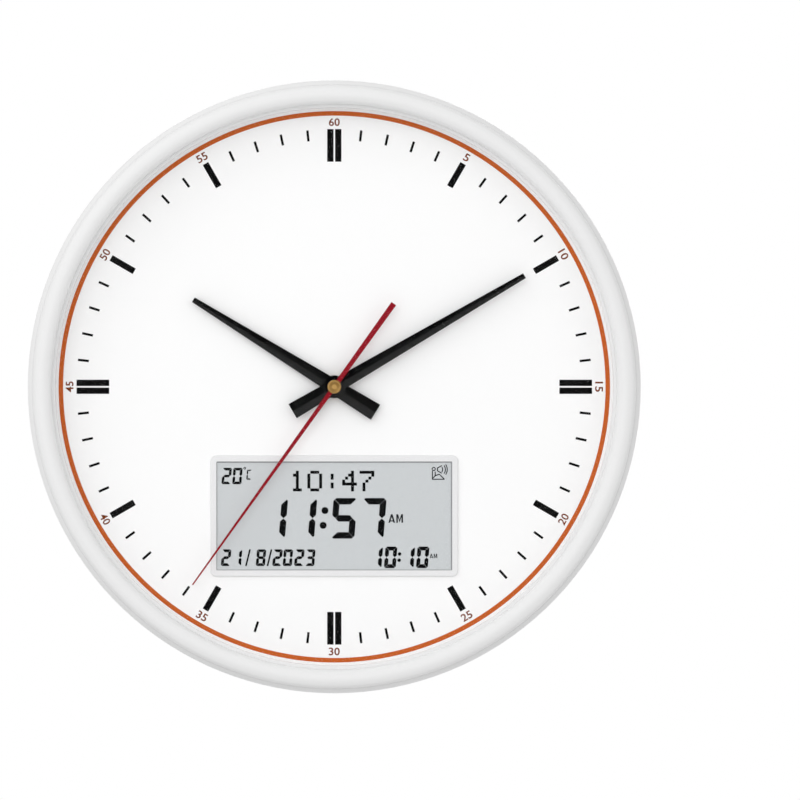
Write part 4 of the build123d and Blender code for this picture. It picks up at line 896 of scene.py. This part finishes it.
def button_signs():
    """Printed signs beside the rear buttons and the slide switch."""
    outlines = []
    for node, sign, step in BUTTON_SIGNS:
        x, y = centre_of(node)
        outlines += sign(x, y + step)
    x, y = centre_of("slide_switch_body")
    outlines.append(stroke_line(x - SWITCH_OFF, y - ON_HALF, x - SWITCH_OFF, y + ON_HALF, LINE_W))
    outlines.append(ring_stroke(x + SWITCH_OFF, y, OFF_R, LINE_W))
    prism_mesh("button_signs", outlines, rear_face("module_housing") - PRINT_T, PAD_PRINT)


# ---- stage -------------------------------------------------------------------------------

PHOTO = 800              # width of the photograph in pixels
CLOCK_PX = 613.0         # outer diameter in the photograph
SHIFT_RIGHT = 65.7 / PHOTO           # the camera's shift, from pixels of the photograph
SHIFT_UP = -13.2 / PHOTO
SENSOR = 36.0            # millimetres
FAR_CLIP = 50.0          # metres
OUTER_D = 330.0
RIM_Z = 27.0             # height where the frame is widest
CAMERA_STEP = 2.6        # metres from the rim's plane to the camera
FLOOR_DROP = 2.6         # metres from the clock's lowest point to the floor
FLOOR_HALF = 3.0         # half the floor's side in metres
FLOOR_FADE = (1.0, 2.8)  # metres from the middle between which the floor turns to plain white
FLOOR_GLOW = 0.6         # share of the floor's seen colour that is plain white
SKY_LEVEL = 0.7          # strength of the world as light
AIM = (0, 0, -0.12)      # the lamps' target in metres, near the dial's middle
LAMPS = (                # name, place in metres, side in metres and watts
    ("key", (-0.5, -2.5, 0.4), 2.0, 18.8),
    ("side", (-1.5, -0.8, 1.2), 1.5, 8.5),
    ("fill", (1.6, -1.8, 0.3), 1.4, 3.0),
    ("rear", (0.3, 2.4, 0.2), 1.4, 10.0),
)


def camera():
    """Straight-on camera with a long lens."""
    data = bpy.data.cameras.new("camera")
    view_width = OUTER_D * MM * PHOTO / CLOCK_PX
    data.sensor_width = SENSOR
    data.lens = data.sensor_width * CAMERA_STEP / view_width
    data.shift_x = SHIFT_RIGHT
    data.shift_y = SHIFT_UP
    data.clip_end = FAR_CLIP
    holder = bpy.data.objects.new("camera", data)
    holder.location = spot(0, 0, RIM_Z) + Vector((0, -CAMERA_STEP, 0))
    holder.rotation_euler = (math.pi / 2, 0, 0)
    bpy.context.scene.collection.objects.link(holder)
    bpy.context.scene.camera = holder


def area_light(name, place, size, power):
    """Square soft light aimed at the clock."""
    data = bpy.data.lights.new(name, "AREA")
    data.energy = power
    data.size = size
    holder = bpy.data.objects.new(name, data)
    holder.location = place
    holder.rotation_euler = (Vector(AIM) - Vector(place)).to_track_quat("-Z", "Y").to_euler()
    bpy.context.scene.collection.objects.link(holder)


def behind_rays(nodes, links):
    """One where the camera, a reflection or glass looks at the surface, nought for its light."""
    path = nodes.new("ShaderNodeLightPath")
    total = path.outputs["Is Camera Ray"]
    for ray in ("Is Glossy Ray", "Is Transmission Ray"):
        either = nodes.new("ShaderNodeMath")
        either.operation = "MAXIMUM"
        links.new(total, either.inputs[0])
        links.new(path.outputs[ray], either.inputs[1])
        total = either.outputs["Value"]
    return total


def world():
    """White where it is seen, and a plain grey as light."""
    scene_world = bpy.data.worlds.new("studio")
    scene_world.use_nodes = True
    nodes = scene_world.node_tree.nodes
    links = scene_world.node_tree.links
    sky = nodes["Background"]
    sky.inputs["Color"].default_value = (1, 1, 1, 1)
    step = nodes.new("ShaderNodeMapRange")
    step.inputs["To Min"].default_value = SKY_LEVEL
    links.new(behind_rays(nodes, links), step.inputs["Value"])
    links.new(step.outputs["Result"], sky.inputs["Strength"])
    bpy.context.scene.world = scene_world


def floor_paint():
    """Pale paint that keeps shadows, is seen lighter than it is lit, and fades to white far away."""
    material = finish("floor_paint", colour(244, 244, 244), 0.8, grain=60.0, mottle=0.01)
    nodes = material.node_tree.nodes
    links = material.node_tree.links
    glow = nodes.new("ShaderNodeEmission")
    glow.inputs["Color"].default_value = (1, 1, 1, 1)
    fade = nodes.new("ShaderNodeMapRange")
    links.new(reach(material, (0.0, 0.0, 0.0), (1.0, 1.0, 0.0)), fade.inputs["Value"])
    fade.inputs["From Min"].default_value = FLOOR_FADE[0]
    fade.inputs["From Max"].default_value = FLOOR_FADE[1]
    fade.inputs["To Min"].default_value = FLOOR_GLOW
    share = nodes.new("ShaderNodeMath")
    share.operation = "MULTIPLY"
    links.new(behind_rays(nodes, links), share.inputs[0])
    links.new(fade.outputs["Result"], share.inputs[1])
    mix = nodes.new("ShaderNodeMixShader")
    links.new(share.outputs["Value"], mix.inputs["Fac"])
    links.new(nodes["Principled BSDF"].outputs["BSDF"], mix.inputs[1])
    links.new(glow.outputs["Emission"], mix.inputs[2])
    links.new(mix.outputs["Shader"], nodes["Material Output"].inputs["Surface"])
    return material


def floor():
    """Pale floor under the clock."""
    half = FLOOR_HALF
    height = (-OUTER_D / 2 - HANG_Y) * MM - FLOOR_DROP
    mesh = bpy.data.meshes.new("floor")
    corners = [(-half, -half, height), (half, -half, height), (half, half, height), (-half, half, height)]
    mesh.from_pydata(corners, [], [(0, 1, 2, 3)])
    mesh.materials.append(floor_paint())
    ground = bpy.data.objects.new("floor", mesh)
    bpy.context.scene.collection.objects.link(ground)


paint_nodes()
minute_track()
orange_ring()
minute_numerals()
big_time()
date_row()
second_clock()
warmth()
dot_row()
small_signs()
panel_border()
cover_marks()
button_signs()
camera()
world()
floor()
for lamp in LAMPS:
    area_light(*lamp)
bpy.context.scene.view_settings.view_transform = "Standard"
